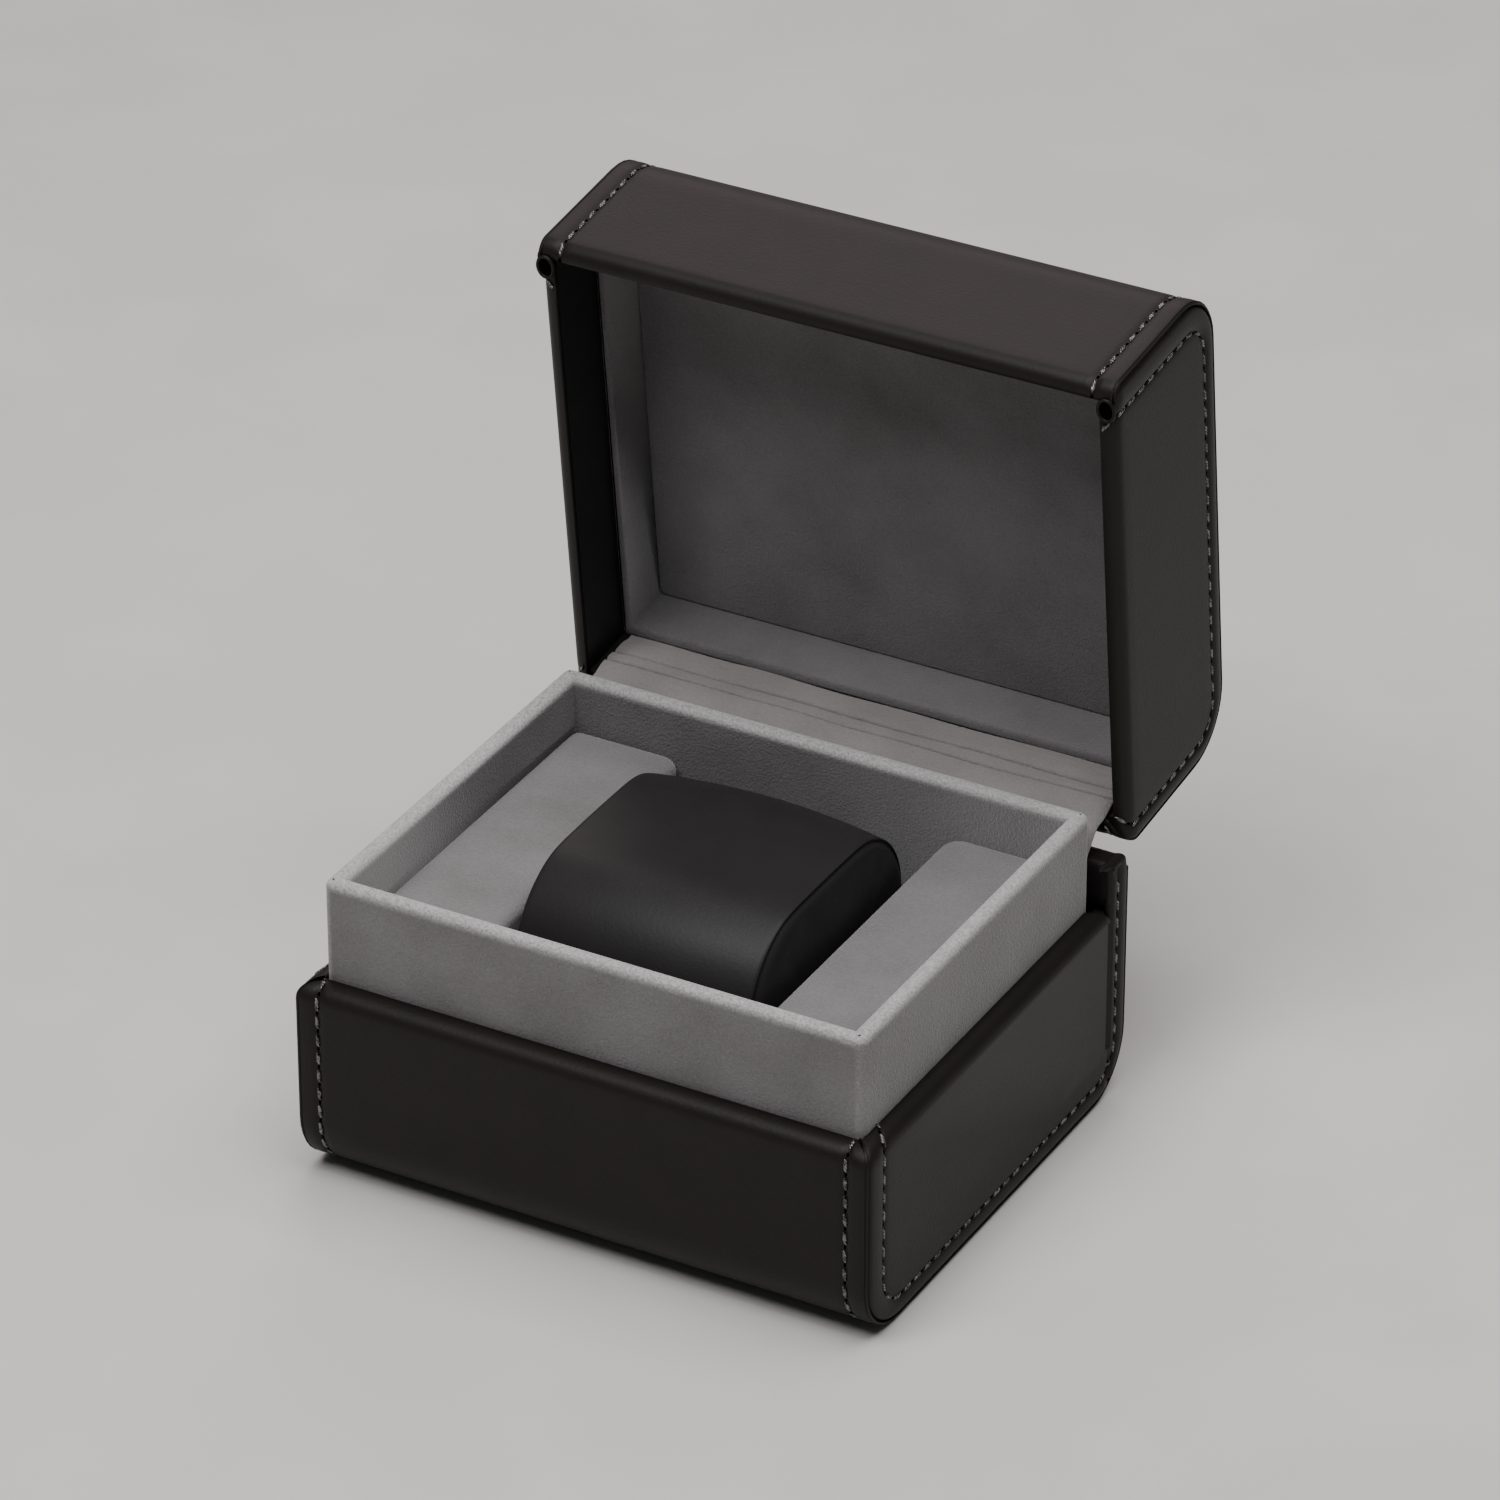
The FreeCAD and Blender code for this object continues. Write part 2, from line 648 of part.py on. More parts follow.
def make_cushion():
    """A stuffed bolster along X: a crowned tube drawn in at the end seams, and two domed ends."""
    half = size.cushion_length.value / 2
    seam = half - size.cushion_end.value
    draw_in = size.cushion_draw_in.value
    leather = size.cushion_leather.value
    tube = [(-seam, draw_in), (-seam / 2, draw_in / 4), (0, 0), (seam / 2, draw_in / 4), (seam, draw_in)]
    outer = cushion_loft(tube)
    inner = cushion_loft([(x, inset + leather) for x, inset in tube])
    dome = [(seam, draw_in), (seam + size.cushion_end.value / 2, draw_in + leather / 2),
            (half, size.cushion_end_draw_in.value)]
    shapes = {
        "cushion_core": inner,
        "cushion_cover": outer.cut(inner),
        "cushion_end_right": cushion_loft(dome),
        "cushion_end_left": cushion_loft([(-x, inset) for x, inset in dome]),
    }
    centre = well_z.value + size.cushion_rest_gap.value + size.cushion_height.value / 2
    pieces = []
    for name, shape in shapes.items():
        piece = doc.addObject("Part::Feature", name)
        piece.Shape = shape
        piece.Placement = FreeCAD.Placement(FreeCAD.Vector(0, tray_y.value, centre), FreeCAD.Rotation())
        pieces.append(piece)
    return pieces


def export(pieces):
    doc.recompute()
    failed = [item.Name for item in doc.Objects if "Invalid" in item.State or "Error" in item.State]
    for piece in pieces:
        if piece.Shape.isNull() or not piece.Shape.isValid():
            failed.append(piece.Label)
    if failed:
        raise RuntimeError("not built: " + ", ".join(failed))
    os.makedirs("parts", exist_ok=True)
    for piece in pieces:
        piece.Shape.exportStep(f"parts/{piece.Label}.step")


def main():
    pieces = [make_base_shell(), make_base_wrap(),
              make_base_side("base_side_left", -1), make_base_side("base_side_right", 1)]
    pieces += make_collar()
    pieces += [make_platform("platform_left", -1), make_platform("platform_right", 1)]
    pieces += make_floors()
    pieces += [make_lid_shell(), make_lid_wrap(),
               make_lid_side("lid_side_left", -1), make_lid_side("lid_side_right", 1)]
    pieces += make_lid_lining()
    pieces += make_hinge()
    pieces += [make_hinge_cloth()]
    pieces += make_cushion()
    export(pieces)


main()
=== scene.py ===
# %% [markdown]
# # A hinged watch box
# The box is a stiff black tray and lid, covered in charcoal leatherette that is sewn along the side
# seams. A grey velvet collar stands in the tray, and a loose cushion lies between two velvet platforms.
# The CAD model is loaded first, as a fixed frame: every piece below goes where its CAD node is.

import json
import math

import bmesh
import bpy
from mathutils import Matrix, Vector, noise
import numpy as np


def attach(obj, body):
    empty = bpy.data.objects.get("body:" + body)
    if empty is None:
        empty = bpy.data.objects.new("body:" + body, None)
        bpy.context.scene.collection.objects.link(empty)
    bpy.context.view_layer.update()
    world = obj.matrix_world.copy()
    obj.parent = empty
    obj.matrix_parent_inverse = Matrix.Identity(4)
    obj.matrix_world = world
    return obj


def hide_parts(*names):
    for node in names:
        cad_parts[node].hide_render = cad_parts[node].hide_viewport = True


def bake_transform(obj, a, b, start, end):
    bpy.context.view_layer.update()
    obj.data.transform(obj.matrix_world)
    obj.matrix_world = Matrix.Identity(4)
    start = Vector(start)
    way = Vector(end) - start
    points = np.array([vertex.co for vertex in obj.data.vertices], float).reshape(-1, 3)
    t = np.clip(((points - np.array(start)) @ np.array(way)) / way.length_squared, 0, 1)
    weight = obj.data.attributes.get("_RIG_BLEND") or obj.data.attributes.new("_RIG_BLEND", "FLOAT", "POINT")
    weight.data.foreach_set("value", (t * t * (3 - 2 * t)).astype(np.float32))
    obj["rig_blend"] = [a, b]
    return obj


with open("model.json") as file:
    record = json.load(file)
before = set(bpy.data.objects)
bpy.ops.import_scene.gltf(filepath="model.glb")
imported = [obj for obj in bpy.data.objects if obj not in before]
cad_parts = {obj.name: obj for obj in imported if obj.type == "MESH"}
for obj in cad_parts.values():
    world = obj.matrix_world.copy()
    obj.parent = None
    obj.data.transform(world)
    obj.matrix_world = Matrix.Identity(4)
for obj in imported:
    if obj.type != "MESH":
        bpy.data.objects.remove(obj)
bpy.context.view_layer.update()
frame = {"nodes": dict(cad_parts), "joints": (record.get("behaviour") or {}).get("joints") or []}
MM = 0.001

# %% [markdown]
# ## The view
# The camera was fitted to the box's own edges: a long lens from the front right, about 31 degrees
# above the floor. The light is one large soft lamp overhead, a little to the right, with a weaker one
# further forward that reaches into the open lid and one behind that lies as a soft shine on what faces
# up. A sun lamp would be simpler, but its shadows are hard, and a large square lamp blurs them.

# %% Camera
AZIMUTH, ELEVATION = math.radians(28.889), math.radians(30.745)
AIM = Vector((-8.33, 26.68, 55.0)) * MM
DISTANCE = 1.3265
towards_camera = Vector((math.sin(AZIMUTH) * math.cos(ELEVATION),
                         -math.cos(AZIMUTH) * math.cos(ELEVATION), math.sin(ELEVATION)))
camera = bpy.data.objects.new("camera", bpy.data.cameras.new("camera"))
camera.data.lens = 195.2
camera.data.sensor_width = 36.0
camera.location = AIM + towards_camera * DISTANCE
camera.rotation_euler = (-towards_camera).to_track_quat("-Z", "Y").to_euler()
bpy.context.scene.collection.objects.link(camera)
bpy.context.scene.camera = camera
print("camera", [round(value, 3) for value in camera.location])


# %% Lamps
def add_lamp(name, place, size, power, tint):
    """A square soft lamp that points at the box."""
    lamp = bpy.data.objects.new(name, bpy.data.lights.new(name, "AREA"))
    lamp.data.size = size
    lamp.data.energy = power
    lamp.data.color = tint
    lamp.location = place
    lamp.rotation_euler = (AIM - Vector(place)).to_track_quat("-Z", "Y").to_euler()
    bpy.context.scene.collection.objects.link(lamp)


NEUTRAL, WARM = (1.0, 1.0, 1.0), (1.0, 0.88, 0.87)
add_lamp("overhead", (0.17, 0.02, 1.05), 0.8, 9.8, NEUTRAL)
add_lamp("inside_the_lid", (-0.14, -0.48, 0.97), 0.4, 5.6, NEUTRAL)
add_lamp("behind", (-0.45, 0.85, 0.75), 0.7, 3.3, WARM)
world = bpy.data.worlds.new("studio")
world.use_nodes = True
background = world.node_tree.nodes["Background"]
background.inputs["Color"].default_value = (0.9, 0.92, 0.95, 1.0)
background.inputs["Strength"].default_value = 0.09
bpy.context.scene.world = world
print("lamps:", [lamp.name for lamp in bpy.data.lights])

# %% [markdown]
# ## Finishes
# Each finish starts from what the real material is. Colours are written as sRGB hex values, and pattern
# sizes in real millimetres. A photograph of leather could be laid on as a picture, but it needs a UV map
# and shows its seams, so the patterns are made by nodes. They read Object coordinates, which stay with
# a piece when it moves.


# %% Helpers for the finishes
def colour(code):
    """An sRGB hex value as the linear colour that the shader wants."""
    parts = [int(code[start:start + 2], 16) / 255 for start in (1, 3, 5)]
    linear = [part / 12.92 if part <= 0.04045 else ((part + 0.055) / 1.055) ** 2.4 for part in parts]
    return linear + [1.0]


def add_node(tree, kind, links=None, values=None, **settings):
    """One shader node, with its settings, fixed values and incoming links."""
    node = tree.nodes.new(kind)
    for name, value in settings.items():
        setattr(node, name, value)
    for socket, value in (values or {}).items():
        node.inputs[socket].default_value = value
    for socket, source in (links or {}).items():
        tree.links.new(source, node.inputs[socket])
    return node


def per_mm(size):
    """The texture scale that gives one feature every so many millimetres."""
    return 1 / (size * MM)


def new_finish(name):
    """An empty material, its coordinates and its shader."""
    finish = bpy.data.materials.new(name)
    finish.use_nodes = True
    tree = finish.node_tree
    place = add_node(tree, "ShaderNodeTexCoord").outputs["Object"]
    return finish, tree, place, tree.nodes["Principled BSDF"]


# %% [markdown]
# Polyurethane leatherette: a thin plastic film, embossed with a fine grain and pressed smooth. To the
# eye it is an even charcoal with a satin gloss. The real grain is about 0.3 mm; it is drawn at 0.55 mm
# so that it shows, and kept shallow. The cushion's skin is smoother and has a wider, shallower grain.

# %% Leatherette
BLOTCH_MM, POLISH_SPREAD = 9.0, 0.06


def leatherette(name, dark, light, grain, depth, gloss):
    """Leatherette with a grain of so many millimetres, embossed so deep, at a middle roughness."""
    finish, tree, place, shader = new_finish(name)
    blotch = add_node(tree, "ShaderNodeTexNoise", {"Vector": place},
                      {"Scale": per_mm(BLOTCH_MM), "Detail": 4.0})
    tone = add_node(tree, "ShaderNodeMixRGB", {"Fac": blotch.outputs["Fac"]},
                    {"Color1": colour(dark), "Color2": colour(light)})
    cells = add_node(tree, "ShaderNodeTexVoronoi", {"Vector": place}, {"Scale": per_mm(grain)},
                     feature="SMOOTH_F1")
    pores = add_node(tree, "ShaderNodeTexNoise", {"Vector": place},
                     {"Scale": per_mm(grain / 2), "Detail": 2.0})
    height = add_node(tree, "ShaderNodeMath", {0: cells.outputs["Distance"], 1: pores.outputs["Fac"]},
                      operation="ADD")
    bump = add_node(tree, "ShaderNodeBump", {"Height": height.outputs["Value"]},
                    {"Strength": 0.5, "Distance": depth * MM})
    polish = add_node(tree, "ShaderNodeMapRange", {"Value": pores.outputs["Fac"]},
                      {"To Min": gloss - POLISH_SPREAD, "To Max": gloss + POLISH_SPREAD})
    tree.links.new(tone.outputs["Color"], shader.inputs["Base Color"])
    tree.links.new(polish.outputs["Result"], shader.inputs["Roughness"])
    tree.links.new(bump.outputs["Normal"], shader.inputs["Normal"])
    shader.inputs["Specular IOR Level"].default_value = 0.2
    return finish


charcoal = leatherette("leatherette_charcoal", "#171212", "#1f1919", 0.55, 0.05, 0.5)
cushion_skin = leatherette("leatherette_cushion", "#222020", "#292727", 0.7, 0.03, 0.46)
print("leatherette:", charcoal.name, cushion_skin.name)


# %% [markdown]
# Velvet: a short cut pile on a woven back, glued over card and foam. Its fibres stand up, so edges seen
# against the light look paler, which is the shader's sheen, and brushed patches differ a little in tone.
# Real fibres are well under 0.1 mm thick, and their tufts are drawn at 0.45 mm so that they show. Hair
# particles could draw each fibre, but they are heavy and aren't exported, so the pile is a bump.
# Pale grains are painted on the rims, and faintly down the round corners, as a painted highlight where the
# velvet catches the light. These places are marked on the mesh, and the shader reads that mark.

# %% Velvet
BRUSHED_MM, TUFT_MM, PILE_DEPTH = 14.0, 0.45, 0.3


def velvet(name, dark, light, highlight_tone):
    """Velvet between a dark and a light tone, with a pale tone painted on its rims as a highlight."""
    finish, tree, place, shader = new_finish(name)
    brushed = add_node(tree, "ShaderNodeTexNoise", {"Vector": place},
                       {"Scale": per_mm(BRUSHED_MM), "Detail": 2.0})
    fibres = add_node(tree, "ShaderNodeTexNoise", {"Vector": place},
                      {"Scale": per_mm(TUFT_MM), "Detail": 3.0, "Roughness": 0.7})
    mixed = add_node(tree, "ShaderNodeMath", {0: brushed.outputs["Fac"], 1: fibres.outputs["Fac"]},
                     operation="ADD")
    share = add_node(tree, "ShaderNodeMapRange", {"Value": mixed.outputs["Value"]},
                     {"From Min": 0.6, "From Max": 1.4})
    tone = add_node(tree, "ShaderNodeMixRGB", {"Fac": share.outputs["Result"]},
                    {"Color1": colour(dark), "Color2": colour(light)})
    # Painted highlight: pale grains from the fibre noise, mixed into the colour where the mesh marks a rim.
    painted_highlight = add_node(tree, "ShaderNodeAttribute", attribute_name="painted_highlight").outputs["Fac"]
    grains = add_node(tree, "ShaderNodeMapRange", {"Value": fibres.outputs["Fac"]},
                      {"From Min": 0.35, "From Max": 0.65, "To Min": 0.35, "To Max": 1.0})
    highlight_mask = add_node(tree, "ShaderNodeMath", {0: painted_highlight, 1: grains.outputs["Result"]},
                         operation="MULTIPLY")
    highlighted = add_node(tree, "ShaderNodeMixRGB",
                      {"Fac": highlight_mask.outputs["Value"], "Color1": tone.outputs["Color"]},
                      {"Color2": colour(highlight_tone)})
    bump = add_node(tree, "ShaderNodeBump", {"Height": fibres.outputs["Fac"]},
                    {"Strength": 0.8, "Distance": PILE_DEPTH * MM})
    tree.links.new(highlighted.outputs["Color"], shader.inputs["Base Color"])
    tree.links.new(bump.outputs["Normal"], shader.inputs["Normal"])
    shader.inputs["Roughness"].default_value = 0.95
    shader.inputs["Specular IOR Level"].default_value = 0.05
    shader.inputs["Sheen Weight"].default_value = 0.5
    shader.inputs["Sheen Roughness"].default_value = 0.5
    shader.inputs["Sheen Tint"].default_value = colour("#e8e6e5")
    return finish


# The third tone is the pale colour of the painted highlight on rims.
grey_velvet = velvet("velvet_grey", "#676464", "#827f80", "#bfbdbc")
# The hinge strip is the same grey velvet in lighter, a little warmer tones. The lightness is painted light,
# so that it looks lit in the open lid's shade; the warmth is its own.
lightened_velvet = velvet("velvet_painted_lighter", "#7f7a79", "#9a9494", "#bfbdbc")
print("velvet:", grey_velvet.name, lightened_velvet.name)


# %% [markdown]
# Polyester thread is twisted from two plies and has a slight shine; the pale specks in its colour are
# painted glints where a ply catches the light, and it is dark between. The shell is moulded plastic with a
# fine spark texture, and the hinge is plain rolled steel. The shade inside needle holes and the open ends of
# rolls is painted as a near-black finish of its own with no gloss. All of these are one tone with fine
# specks, so one function makes them.

# %% Thread, plastic and steel
SPECK_LOW, SPECK_HIGH = 0.44, 0.62


def plain_finish(name, dark, light, size, depth, roughness, metallic):
    """Two tones in specks of so many millimetres, as a shallow relief."""
    finish, tree, place, shader = new_finish(name)
    speck = add_node(tree, "ShaderNodeTexNoise", {"Vector": place}, {"Scale": per_mm(size), "Detail": 3.0})
    share = add_node(tree, "ShaderNodeMapRange", {"Value": speck.outputs["Fac"]},
                     {"From Min": SPECK_LOW, "From Max": SPECK_HIGH})
    tone = add_node(tree, "ShaderNodeMixRGB", {"Fac": share.outputs["Result"]},
                    {"Color1": colour(dark), "Color2": colour(light)})
    bump = add_node(tree, "ShaderNodeBump", {"Height": speck.outputs["Fac"]},
                    {"Strength": 0.5, "Distance": depth * MM})
    tree.links.new(tone.outputs["Color"], shader.inputs["Base Color"])
    tree.links.new(bump.outputs["Normal"], shader.inputs["Normal"])
    shader.inputs["Roughness"].default_value = roughness
    shader.inputs["Metallic"].default_value = metallic
    return finish


# The thread's light tone stands for painted glints.
thread = plain_finish("polyester_thread", "#141211", "#75716c", 0.7, 0.1, 0.2, 0.0)
plastic = plain_finish("moulded_plastic_black", "#131212", "#1b1a19", 0.6, 0.03, 0.55, 0.0)
steel = plain_finish("rolled_steel", "#9b9894", "#b5b2ad", 1.2, 0.01, 0.35, 1.0)
# A near-black finish: painted shade inside needle holes and open rolls.
hollow_shade = plain_finish("painted_hollow_shade", "#030303", "#060606", 0.5, 0.02, 0.9, 0.0)
for finish, level in ((thread, 0.9), (hollow_shade, 0.0)):
    finish.node_tree.nodes["Principled BSDF"].inputs["Specular IOR Level"].default_value = level
pale_floor = plain_finish("studio_floor", "#cfcdca", "#d3d1ce", 40.0, 0.0, 0.8, 0.0)
print("plain finishes:", [finish.name for finish in (thread, plastic, steel, hollow_shade, pale_floor)])

# %% [markdown]
# The floor is a plain pale sheet. A curved backdrop is usual in a studio, but this camera looks down and
# never sees the horizon, so a flat grid is enough. It lies a hair below the box and is no part of it.

# %% Floor
FLOOR_HALF, FLOOR_LEVEL = 3.0, -0.0003
bm = bmesh.new()
bmesh.ops.create_grid(bm, x_segments=2, y_segments=2, size=FLOOR_HALF,
                      matrix=Matrix.Translation((0, 0, FLOOR_LEVEL)))
floor_mesh = bpy.data.meshes.new("floor")
bm.to_mesh(floor_mesh)
bm.free()
floor_mesh.materials.append(pale_floor)
floor = bpy.data.objects.new("floor", floor_mesh)
bpy.context.scene.collection.objects.link(floor)
print("floor:", 2 * FLOOR_HALF, "m wide")

# %% [markdown]
# ## Hard pieces that stay as CAD
# The shells, the tray's board and the hinge are stiff. They could be drawn again, but their CAD shapes are
# right, so they only get a finish.

# %% Finishes on CAD nodes
CAD_FINISHES = {plastic: ("base_shell", "lid_shell", "tray_board"),
                steel: ("hinge_leaf_base", "hinge_leaf_lid", "hinge_pin", "hinge_nails_base",
                        "hinge_nails_lid")}
for finish, names in CAD_FINISHES.items():
    for name in names:
        mesh = frame["nodes"][name].data
        mesh.materials.clear()
        mesh.materials.append(finish)
    print(finish.name, "on", len(names), "CAD nodes")

# %% [markdown]
# ## Working in one cup
# The lid is a second box turned upside down. It could be drawn where it is, but slanted sizes are hard to
# read, so both are drawn the same way up, as an open cup standing on the floor, in millimetres. The lid's
# cup is then turned over onto the base and swung open about the hinge pin. The hinge's place and its
# opening angle come from the CAD model.

# %% Sizes and the lid's turn
SIDE_X, BACK_Y = 52.0, 45.0
RIM_Z, RISER_Z, RISER_Y = 36.2, 44.1, 38.5
LID_TOP, LID_HEIGHT = 80.35, 35.0
CORNER = 11.0
SEAM, LEATHER, FIT_GAP, NEAR = 0.75, 0.6, 0.2, 1e-3

hinge = next(joint for joint in frame["joints"] if joint["name"] == "lid_hinge")
pin = Vector(hinge["pos_m"]) / MM
opened = Matrix.Rotation(-math.radians(hinge["range_deg"][1]), 4, "X")
TURN_OVER = Matrix.Translation((0, 0, LID_TOP)) @ Matrix.Rotation(math.pi, 4, "X")
LID = Matrix.Translation(pin) @ opened @ Matrix.Translation(-pin) @ TURN_OVER
BASE = Matrix.Identity(4)
print("hinge pin at", [round(value, 2) for value in pin], "mm, open by", hinge["range_deg"][1])


# %% Turning a bmesh into a piece
def new_piece(bm, name, finish, place=BASE):
    """Take a bmesh in millimetres to its place in metres, as a smooth object with one finish."""
    bmesh.ops.transform(bm, matrix=Matrix.Scale(MM, 4) @ place, verts=bm.verts)
    mesh = bpy.data.meshes.new(name)
    bm.to_mesh(mesh)
    bm.free()
    mesh.shade_smooth()
    mesh.materials.append(finish)
    piece = bpy.data.objects.new(name, mesh)
    bpy.context.scene.collection.objects.link(piece)
    print(f"{name}: {len(mesh.polygons)} faces")
    return piece


def settle(piece, body, slot, *nodes):
    """Tie a piece to its body and hide the CAD nodes that it stands for; the slot is not used."""
    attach(piece, body)
    if nodes:
        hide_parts(*nodes)
    return piece


def flatten_faces(piece):
    """Keep large faces flat to the light, so that only the rounded edges look round."""
    piece.modifiers.new("flat faces", "WEIGHTED_NORMAL")
    return piece


def thicken(piece, thickness, offset=-1.0):
    """Give a skin its thickness, inwards unless told otherwise."""
    wall = piece.modifiers.new("thickness", "SOLIDIFY")
    wall.thickness = thickness * MM
    wall.offset = offset


# %% [markdown]
# ## Sewn leatherette
# On the real box one strip runs from the front rim, under the box and up the back. Its two long edges
# turn round the corner in a soft bead and are sewn to flat side panels, so the seam lies on the side
# face. A second row of stitches runs about 4 mm from the edge on both, and draws the leather in.
# A strip like this is one edge line carried along a path, so the line is drawn once, with its bead and
# groove, and spin carries it: a plain move on the flats and a turn at the corners.

# %% The strip
STITCH_PITCH = 3.4
STEP = STITCH_PITCH / 2
# Points of an edge line: how far inside the box's side, and how high above the flat of the leather.
STRIP_EDGE = [(12.0, 0.0), (5.6, 0.0), (4.9, -0.05), (4.4, -0.2), (4.0, -0.36), (3.6, -0.2), (3.1, 0.0),
              (2.5, 0.08), (1.7, 0.1), (1.0, 0.07), (0.5, 0.0), (0.2, -0.1), (0.05, -0.22), (0.0, -0.34),
              (0.12, -0.45), (0.6, -0.5)]
PLAIN_EDGE = [(12.0, 0.0), (4.2, 0.0), (2.0, -0.02), (1.2, -0.12), (0.6, -0.4), (0.2, -0.85), (0.0, -1.4)]
STRIP_SEWN = 4.0
RIM_FLATTENING = 0.9
TURN_STEPS = 9


def carry(bm, line, route):
    """Carry an edge line along X over runs (y, z) and turns (centre y, centre z, degrees)."""
    for step in route:
        if len(step) == 2:
            count = max(1, round(math.hypot(*step) / STEP))
            line = bmesh.ops.spin(bm, geom=line, cent=(0, 0, 0), axis=(1, 0, 0), angle=0.0, steps=count,
                                  dvec=(0, step[0] / count, step[1] / count))["geom_last"]
        else:
            line = bmesh.ops.spin(bm, geom=line, cent=(0, step[0], step[1]), axis=(1, 0, 0),
                                  angle=math.radians(step[2]), steps=TURN_STEPS,
                                  dvec=(0, 0, 0))["geom_last"]
    return line


def draw_strip(edge, start_y, rim_z, *routes):
    """A strip in its place on the cup, starting on the rim and facing up, with both edges alike."""
    bm = bmesh.new()
    sewn = bm.verts.layers.float.new("sewn")
    half = [(SIDE_X - inwards, height, inwards == STRIP_SEWN) for inwards, height in edge]
    points = [(-x, height, mark) for x, height, mark in reversed(half)] + half
    verts = []
    for x, height, mark in points:
        vert = bm.verts.new((x, start_y, rim_z + height))
        vert[sewn] = float(mark)
        verts.append(vert)
    edges = [bm.edges.new(pair) for pair in zip(verts, verts[1:])]
    for route in routes:
        carry(bm, verts + edges, route)
    bmesh.ops.recalc_face_normals(bm, faces=bm.faces)
    highest = max(bm.faces, key=lambda face: face.calc_center_median().z)
    if highest.normal.z < 0:
        bmesh.ops.reverse_faces(bm, faces=bm.faces)
    return bm


# %% Turning the strip over a rim
def turn_rim(verts, rim, radius, mitred=True):
    """Flatten the strip's beads where it turns over a rim, and draw mitred edges in to the seams."""
    for vert in verts:
        out, up = abs(vert.co.y) - BACK_Y + radius, vert.co.z - rim + radius
        if up <= 0:
            continue
        angle = math.atan2(up, out) if out > 0 else math.pi / 2
        turned = angle / (math.pi / 2)
        inwards = radius * (1 - math.cos(angle)) - min(0.0, out)
        bead = (math.hypot(out, up) if out > 0 else up) - radius
        vert.co.y -= math.copysign(bead * RIM_FLATTENING * turned * math.cos(angle), vert.co.y)
        vert.co.z -= bead * RIM_FLATTENING * turned * math.sin(angle)
        if mitred:
            share = max(0.0, 1 - (SIDE_X - abs(vert.co.x)) / STRIP_SEWN)
            vert.co.x -= math.copysign(share * max(0.0, inwards - SEAM * turned), vert.co.x)


# %% [markdown]
# The side panel is one flat face with two round corners. Inset repeats its outline inwards, each time a
# little higher or lower, which gives the puffed border, the stitch groove and the flat middle. The panel
# is drawn too tall, and what stands above the rim is bent over it.

# %% The side panel
PANEL_EDGE = [(0.0, -0.9), (0.06, -0.45), (0.16, -0.12), (0.36, 0.08), (0.9, 0.22), (1.8, 0.3),
              (2.7, 0.26), (3.4, 0.08), (3.75, -0.14), (4.0, -0.34), (4.25, -0.16), (4.75, 0.0),
              (5.6, 0.06), (7.6, 0.08)]
PANEL_SEWN = 4.0
PANEL_SPARE = 16.0
CORNER_STEPS, RIM_CUTS = 10, 6
MITRE_START, MITRE_WIDTH = 34.0, 4.0


def cut_across(bm, place, normal, trim=False):
    """Cut every face along a plane, and drop what lies beyond it if asked."""
    geometry = bm.verts[:] + bm.edges[:] + bm.faces[:]
    bmesh.ops.bisect_plane(bm, geom=geometry, dist=1e-5, plane_co=place, plane_no=normal, clear_outer=trim)


def draw_panel(height, shift):
    """A flat side panel at X = 0, facing +X, with its border and its stitch groove."""
    bm = bmesh.new()
    sewn = bm.verts.layers.float.new("sewn")
    edge = BACK_Y - SEAM
    corners = [bm.verts.new((0, y, z)) for y, z in
               ((-edge, SEAM), (edge, SEAM), (edge, height + PANEL_SPARE), (-edge, height + PANEL_SPARE))]
    bm.faces.new(corners)
    bmesh.ops.bevel(bm, geom=corners[:2], offset=CORNER - SEAM, offset_type="OFFSET", segments=CORNER_STEPS,
                    profile=0.5, affect="VERTICES", material=-1)
    bm.faces.ensure_lookup_table()
    face = bm.faces[0]
    for long_edge in [item for item in face.edges if item.calc_length() > 2 * STEP]:
        bmesh.ops.subdivide_edges(bm, edges=[long_edge], cuts=round(long_edge.calc_length() / STEP) - 1)
    bmesh.ops.translate(bm, vec=(PANEL_EDGE[0][1], 0, 0), verts=bm.verts)
    for (inside, low), (further, high) in zip(PANEL_EDGE, PANEL_EDGE[1:]):
        bmesh.ops.inset_region(bm, faces=[face], thickness=further - inside, depth=high - low,
                               use_even_offset=True, use_boundary=True)
        drawn = min(1.0, further / PANEL_SEWN) - min(1.0, inside / PANEL_SEWN)
        bmesh.ops.translate(bm, vec=(0, shift[0] * drawn, shift[1] * drawn), verts=face.verts)
        if further == PANEL_SEWN:
            for vert in face.verts:
                vert[sewn] = 1.0
        elif inside == PANEL_SEWN:
            for vert in face.verts:
                vert[sewn] = 0.0
    return bm


# %% Bending the panel over a rim
def bend_over(verts, rim, radius):
    """Bend what stands above the rim inwards, round a radius, and then level."""
    start = rim - radius
    arc = radius * math.pi / 2
    for vert in verts:
        along, height = vert.co.z - start, vert.co.x
        if along <= 0:
            continue
        angle = min(along, arc) / radius
        level = max(0.0, along - arc)
        height *= 1 - RIM_FLATTENING * angle / (math.pi / 2)
        vert.co.x = (radius + height) * math.cos(angle) - radius - level
        vert.co.z = start + (radius + height) * math.sin(angle)
        inwards = radius * (1 - math.cos(angle)) + level
        border = min(1.0, max(0.0, (abs(vert.co.y) - MITRE_START) / MITRE_WIDTH))
        vert.co.y -= math.copysign(inwards * border, vert.co.y)


def rim_cuts(bm, rim, radius, flange):
    """Cuts that let the panel bend smoothly over a rim; returns the level where the leather ends."""
    start = rim - radius
    arc = radius * math.pi / 2
    for number in range(RIM_CUTS + 1):
        cut_across(bm, (0, 0, start + arc * number / RIM_CUTS), (0, 0, 1))
    return start + arc + flange
